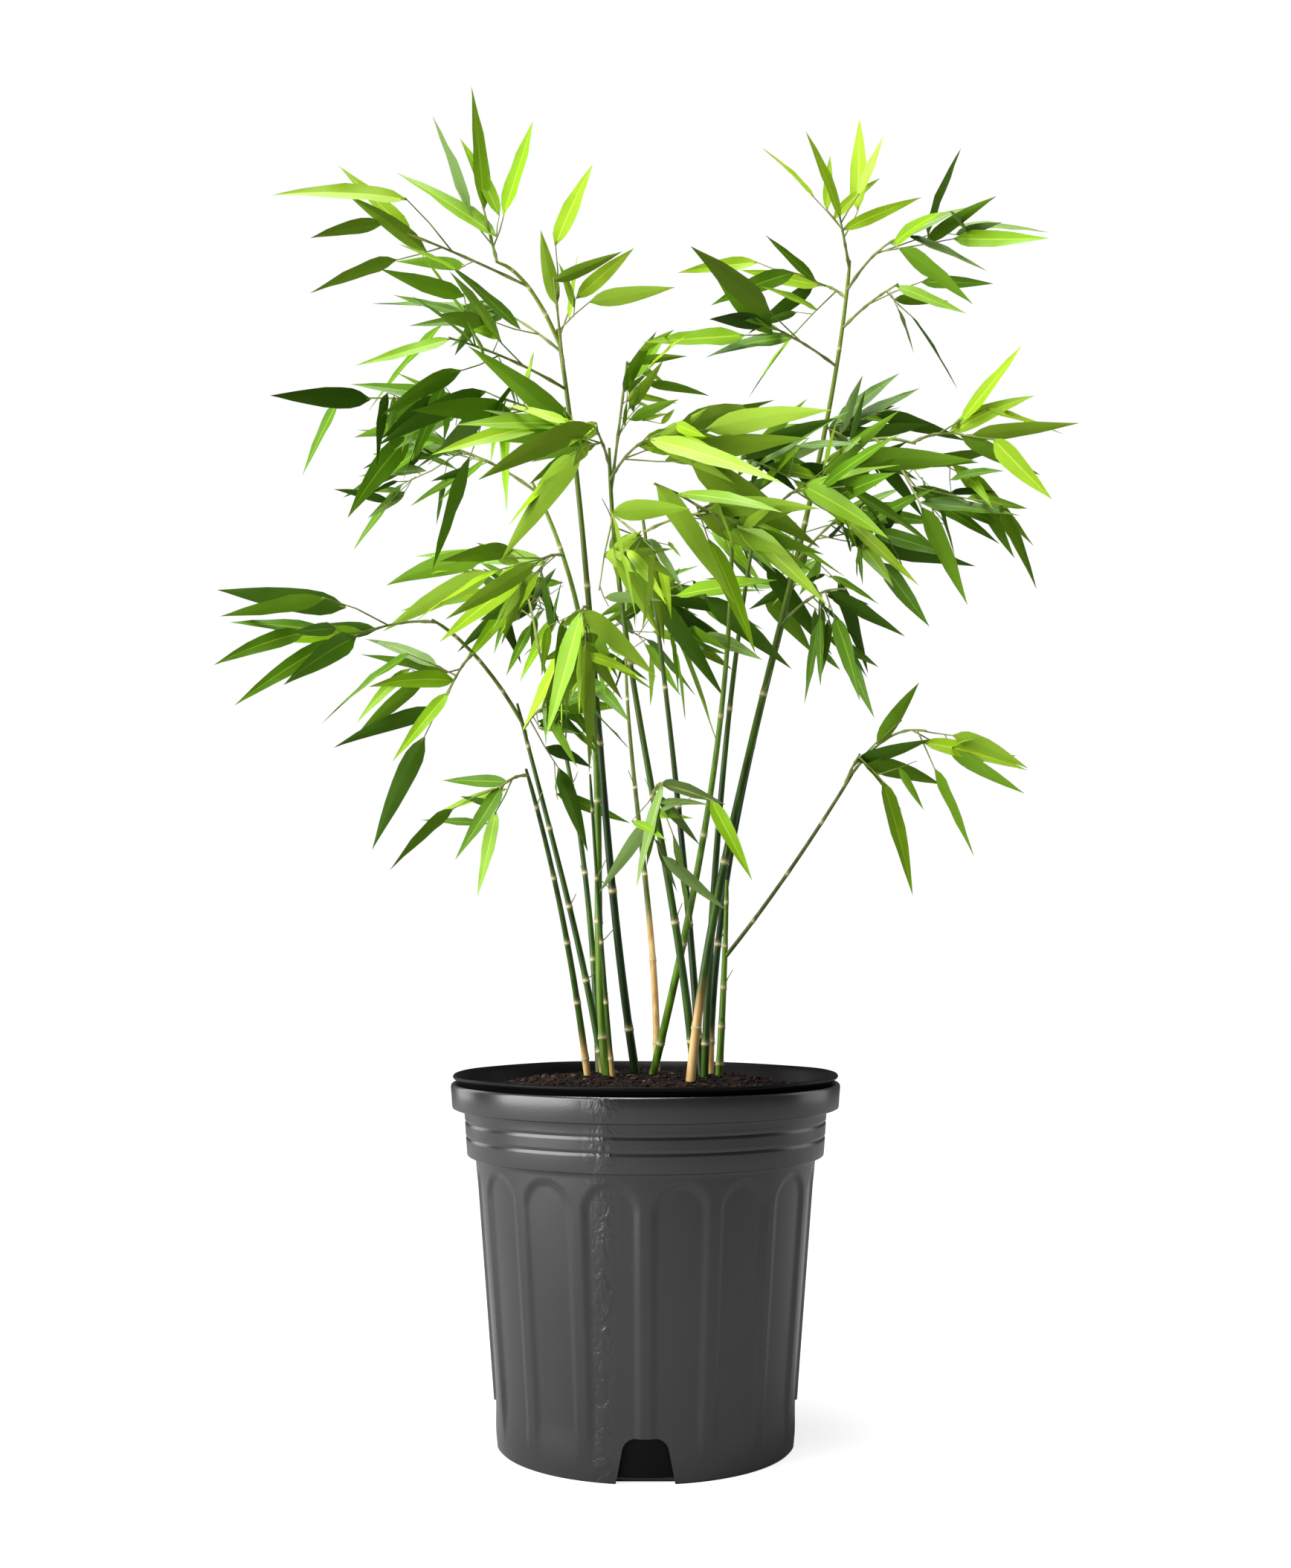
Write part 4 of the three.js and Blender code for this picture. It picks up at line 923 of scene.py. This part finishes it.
def caneMesh(name, limb):
    handles, radii, isCane = limb.handles, limb.radii, name in canes
    length = lengthOf(handles)
    steps = math.ceil(length / cane["stationStep"])
    marks = {i / steps: (1, 0) for i in range(steps)}  # share of the radius and of the pale tint
    marks[1.0] = (cane["tipShare"], 0)
    for place in ringPlaces() if isCane else cane["boughRings"]:
        clear = cane["ringClear"] / length
        for near in [t for t in marks if 0 < t < 1 and abs(t - place) < clear]:
            del marks[near]
        for offset, share, tint in cane["ridge"]:
            if 0 < place + offset / length < 1:
                marks[place + offset / length] = (share, tint)
    roll = makeDice(cane["seed"] + sum(map(ord, name)))
    tanFade = [limb.tan + offset for offset in cane["tanFade"]]
    points, headings, sizes, rings, dry = [], [], [], [], []
    for t in sorted(marks):
        share, tint = marks[t]
        points.append(along(handles, t))
        headings.append(up if t == 0 and isCane else headingAt(handles, t))
        sizes.append(mix(*radii, t) * share * (1 + cane["sway"] * (roll() - 0.5)))
        rings.append(tint)
        dry.append(1 - smooth(*tanFade, points[-1][2]))
    spots, faces = tube(points, headings, sizes, cane["sides"])
    return spots, faces, {"ringShare": np.repeat(rings, cane["sides"]),
                          "dryShare": np.repeat(dry, cane["sides"])}


def buildLimbs():
    skins = {name: caneMaterial(name + "Skin", *pair) for name, pair in caneTones.items()}
    for name, limb in limbs.items():
        spots, faces, attributes = caneMesh(name, limb)
        kind, node = ("culm_", "cane_") if name in canes else ("arm_", "bough_")
        skin = [skins[limb.skin]]
        piece = pieceFromArrays(kind + name, spots, faces, skin, attributes=attributes)
        finishPiece(piece, "dry_cane" if name == "dry" else "cane", node + name)
    print("canes and boughs done,", len(limbs))


# leaf tones: the blade, its paler rib, and its underside, duller in its own colour and painted darker as
# shade
tones = {
    "bright": ((0.41, 0.64, 0.022), (0.60, 0.79, 0.10), (0.26, 0.42, 0.03)),
    "fresh": ((0.33, 0.56, 0.012), (0.54, 0.72, 0.06), (0.20, 0.34, 0.018)),
    "mid": ((0.235, 0.46, 0.008), (0.43, 0.64, 0.035), (0.125, 0.26, 0.009)),
    "deep": ((0.098, 0.235, 0.004), (0.24, 0.42, 0.020), (0.045, 0.110, 0.004)),
    "sage": ((0.21, 0.36, 0.065), (0.38, 0.52, 0.14), (0.15, 0.25, 0.06)),
}
# roughness and specular of each
leafFinish = (("Blade", 0.42, 0.24), ("Rib", 0.5, 0.2), ("ShadedUnderside", 0.65, 0.1))
toneOrder = ("bright", "fresh", "mid", "deep")
tonePick = {"seed": 4040, "same": 0.58, "deeper": 0.84, "sage": 0.965, "sageInSage": 0.5,
            "wholeTwig": 0.7}  # what a draw from 0 to 1 has to stay below
bladeRows = ((0, 0.08), (0.04, 0.3), (0.1, 0.68), (0.19, 0.94), (0.31, 1.0), (0.46, 0.92),
             (0.62, 0.72), (0.78, 0.44), (0.91, 0.17))
# the underside's faces take the third tone of each row, painted darker as shade
bladeKinds = (0, 1, 0, 2, 2, 2)  # blade, rib, blade, and the underside
bladeLean = (True, True, False, True, False, False)  # strips are split alike above and below
blade = {"columns": (-1, -0.075, 0.075, 1), "fold": 0.2, "leastFold": 0.3, "thickness": 0.3,
         "twist": 0.7, "wave": 0.05, "ripple": 15, "lag": 2, "phases": 6.3}


def bladeMesh(leaf, roll):
    upper = leaf.normal if leaf.normal[2] >= 0 else -leaf.normal
    across = np.cross(upper, leaf.direction)
    fold = blade["fold"] * (blade["leastFold"] + roll())
    twist = (roll() - 0.5) * blade["twist"]
    phase = roll() * blade["phases"]
    points, faces, kinds = [], [], []
    for share, width in bladeRows:
        centre = spineAt(leaf, share)
        turned, face = (turnAbout(v, leaf.direction, twist * share) for v in (across, upper))
        half = leaf.width / 2 * width
        for column in blade["columns"]:
            lift = fold * half * abs(column)
            if abs(column) == 1:  # the edges are wavy, one a little behind the other
                lag = blade["lag"] if column > 0 else 0
                wave = math.sin(share * blade["ripple"] + phase + lag)
                lift += wave * blade["wave"] * leaf.width * width
            points.append(centre + turned * half * column + face * lift)
        for column in blade["columns"][1:3]:
            points.append(centre + turned * half * column - face * blade["thickness"])
    points.append(spineAt(leaf, 1))
    order = (0, 1, 2, 3, 5, 4)  # once round a row: over the upper side and back under the lower
    step = len(order)
    for a in range(0, len(points) - 1, step):
        for i in range(step):
            p, q = a + order[i], a + order[(i + 1) % step]
            strip = [(p, q, q + step), (p, q + step, p + step)]
            if not bladeLean[i]:
                strip = [(p, q, p + step), (q, q + step, p + step)]
            if a + step == len(points) - 1:  # the last row closes at the tip
                strip = [(p, q, a + step)]
            faces.extend(strip)
            kinds.extend([bladeKinds[i]] * len(strip))
    faces.append(tuple(reversed(order)))
    kinds.append(0)
    return points, faces, kinds


def toneOf(main, roll):  # most leaves of a spray have its tone, some a neighbouring one
    pick = roll()
    if main == "sage":
        return "sage" if pick < tonePick["sageInSage"] else "mid"
    if pick > tonePick["sage"]:
        return "sage"
    step = 0 if pick < tonePick["same"] else 1 if pick < tonePick["deeper"] else -1
    return toneOrder[min(max(toneOrder.index(main) + step, 0), 3)]


def buildLeaves():
    roll = makeDice(tonePick["seed"])
    bundles = {tone: Bundle() for tone in tones}
    for growth in growths:
        main = growth.row.tone
        for tip in growth.tips + growth.fineTwigs:
            tone = toneOf(main, roll)
            for leaf in tip.leaves:
                own = tone if roll() < tonePick["wholeTwig"] else toneOf(main, roll)
                bundles[own].add(*bladeMesh(leaf, roll))
    for tone, bundle in bundles.items():
        # the third material of each tone is the underside: its own duller green, painted darker as shade
        skins = [newMaterial(tone + side, colour, *finish)[0]
                 for colour, (side, *finish) in zip(tones[tone], leafFinish)]
        piece = pieceFromArrays(tone + "Leaves", bundle.points, bundle.faces, skins, bundle.kinds)
        # each spray's node is replaced by the leaves of its own main tone
        finishPiece(piece, "leaf", *(growth.owner for growth in growths if growth.row.tone == tone))
    print("leaves done,", {tone: len(bundle.faces) for tone, bundle in bundles.items()})


# the sprays' stems and twigs, the leaves' stalks, and short broken spurs at the canes' rings
twig = {
    "seed": 909, "stemSteps": 14, "stemSides": 6, "stemRadii": (1.25, 0.7), "joint": 1.4,
    "sides": 5, "bend": 0.08, "side": (0.7, 0.45), "fine": (0.5, 0.3), "stalk": (0.4, 0.45),
    "stalkEnd": 0.05, "spur": (0.55, 0.3), "spurs": 1.6, "spurRise": (30, 70),
    "spurReach": (5, 21), "tones": ((0.10, 0.17, 0.02), (0.36, 0.38, 0.10)),
    "stops": (0.35, 0.65), "noise": (60, 3), "roughness": (0.5, 0.5), "specular": 0.4,
}


def addTwig(bundle, base, end, kind, roll):
    thick, thin = twig[kind]
    heading, length = unit(end - base), np.linalg.norm(end - base)
    side = np.cross(heading, levelSideOf(heading)) * (roll() - 0.5) * twig["bend"] * length
    points = [base, (base + end) / 2 + side, end]
    bundle.add(*tube(points, [heading] * 3, [thick, (thick + thin) / 2, thin], twig["sides"]))


def addStem(bundle, stem):
    shares = [i / twig["stemSteps"] for i in range(twig["stemSteps"] + 1)]
    headings = [headingAt(stem, min(max(t, 0.01), 0.99)) for t in shares]
    sizes = [mix(*twig["stemRadii"], t) * (twig["joint"] if i % 4 == 2 else 1)
             for i, t in enumerate(shares)]
    bundle.add(*tube([along(stem, t) for t in shares], headings, sizes, twig["stemSides"]))


def buildTwigs():
    bundle = Bundle()
    roll = makeDice(twig["seed"])
    for growth in growths:
        addStem(bundle, growth.stem)
        for tip in growth.tips:
            if tip.side:
                addTwig(bundle, tip.base, tip.end, "side", roll)
        for tip in growth.fineTwigs:
            addTwig(bundle, tip.base, tip.end, "fine", roll)
        for tip in growth.tips + growth.fineTwigs:
            for leaf in tip.leaves:
                addTwig(bundle, leaf.root, spineAt(leaf, twig["stalkEnd"]), "stalk", roll)
    for name in canes:
        for place in ringPlaces()[1:]:
            for _ in range(int(roll() * twig["spurs"])):
                start = along(limbs[name].handles, place)
                radius = mix(*limbs[name].radii, place)
                way = spanOf(roll() * 360, mix(*twig["spurRise"], roll()), 1)
                end = start + way * (radius + mix(*twig["spurReach"], roll()))
                addTwig(bundle, start, end, "spur", roll)
    skin = grainyMaterial("twigSkin", twig)[0]
    finishPiece(pieceFromArrays("fineTwigs", bundle.points, bundle.faces, [skin]), "cane")
    print("twigs done,", len(bundle.faces), "faces")


for build in (buildPot, buildLiner, buildBed, buildCrumbs, buildLimbs, buildLeaves, buildTwigs):
    build()

# floor, light and camera: each lamp's power, size and place
studio = {
    "floorSize": 60, "floorColour": (0.45, 0.45, 0.445), "floorGlow": (0.8, 1.0),
    "glowSpan": (0.9, 5), "air": (0.12, 1.0), "aim": (0, 0, 0.6), "lamps": {
        "keySoftbox": (54, (1.8, 1.5), (-1.6, -0.8, 0.77)),
        "leftSoftbox": (8, (0.8, 1.5), (-1.6, 1.2, 0.77)),
        "rightSoftbox": (5, (1.0, 1.5), (1.7, 0.7, 0.77)),
        "topSoftbox": (112, (1.8, 1.8), (-0.4, -0.4, 3.2))},
}
lens = {"distance": 1.4, "height": 0.376, "tilt": 5.27, "focal": 40.76, "clip": (0.01, 100)}
white = (1, 1, 1)

clearSelection()
bpy.ops.mesh.primitive_plane_add(size=studio["floorSize"], location=(0, 0, 0))
floor = bpy.context.object
floor.name = "studioFloor"
paper, sheet, paperShader = newMaterial("palePaper", studio["floorColour"], 0.9, 0.1)
away = calculate(sheet, "LENGTH", ownPlace(sheet), kind="VectorMath")  # from the pot
glow = mapRange(sheet, away, studio["glowSpan"], studio["floorGlow"])
seen = addNode(sheet, "LightPath").outputs["Is Camera Ray"]
feed(sheet, white, paperShader.inputs["Emission Color"])
# the floor looks paler than the light it gives
feed(sheet, calculate(sheet, "MULTIPLY", glow, seen), paperShader.inputs["Emission Strength"])
giveMaterial(floor, paper)

bpy.context.scene.view_settings.view_transform = "Standard"
world = bpy.data.worlds.new("studioAir")
bpy.context.scene.world = world
world.use_nodes = True
air = world.node_tree
backdrop = air.nodes["Background"]
feed(air, white, backdrop.inputs["Color"])
# the backdrop is paler than the light it gives
shown = mapRange(air, addNode(air, "LightPath").outputs["Is Camera Ray"], (0, 1), studio["air"])
feed(air, shown, backdrop.inputs["Strength"])

for name, (power, size, place) in studio["lamps"].items():
    lamp = bpy.data.lights.new(name, "AREA")
    lamp.energy = power
    lamp.shape = "RECTANGLE"
    lamp.size, lamp.size_y = size
    holder = addObject(name, lamp)
    holder.location = place
    heading = Vector(studio["aim"]) - holder.location
    holder.rotation_euler = heading.to_track_quat("-Z", "Y").to_euler()

camera = addObject("studioCamera", bpy.data.cameras.new("studioCamera"))
camera.location = (0, -lens["distance"], lens["height"])
camera.rotation_euler = (math.radians(90 + lens["tilt"]), 0, 0)
camera.data.lens = lens["focal"]
camera.data.clip_start, camera.data.clip_end = lens["clip"]
bpy.context.scene.camera = camera
print("studio set")
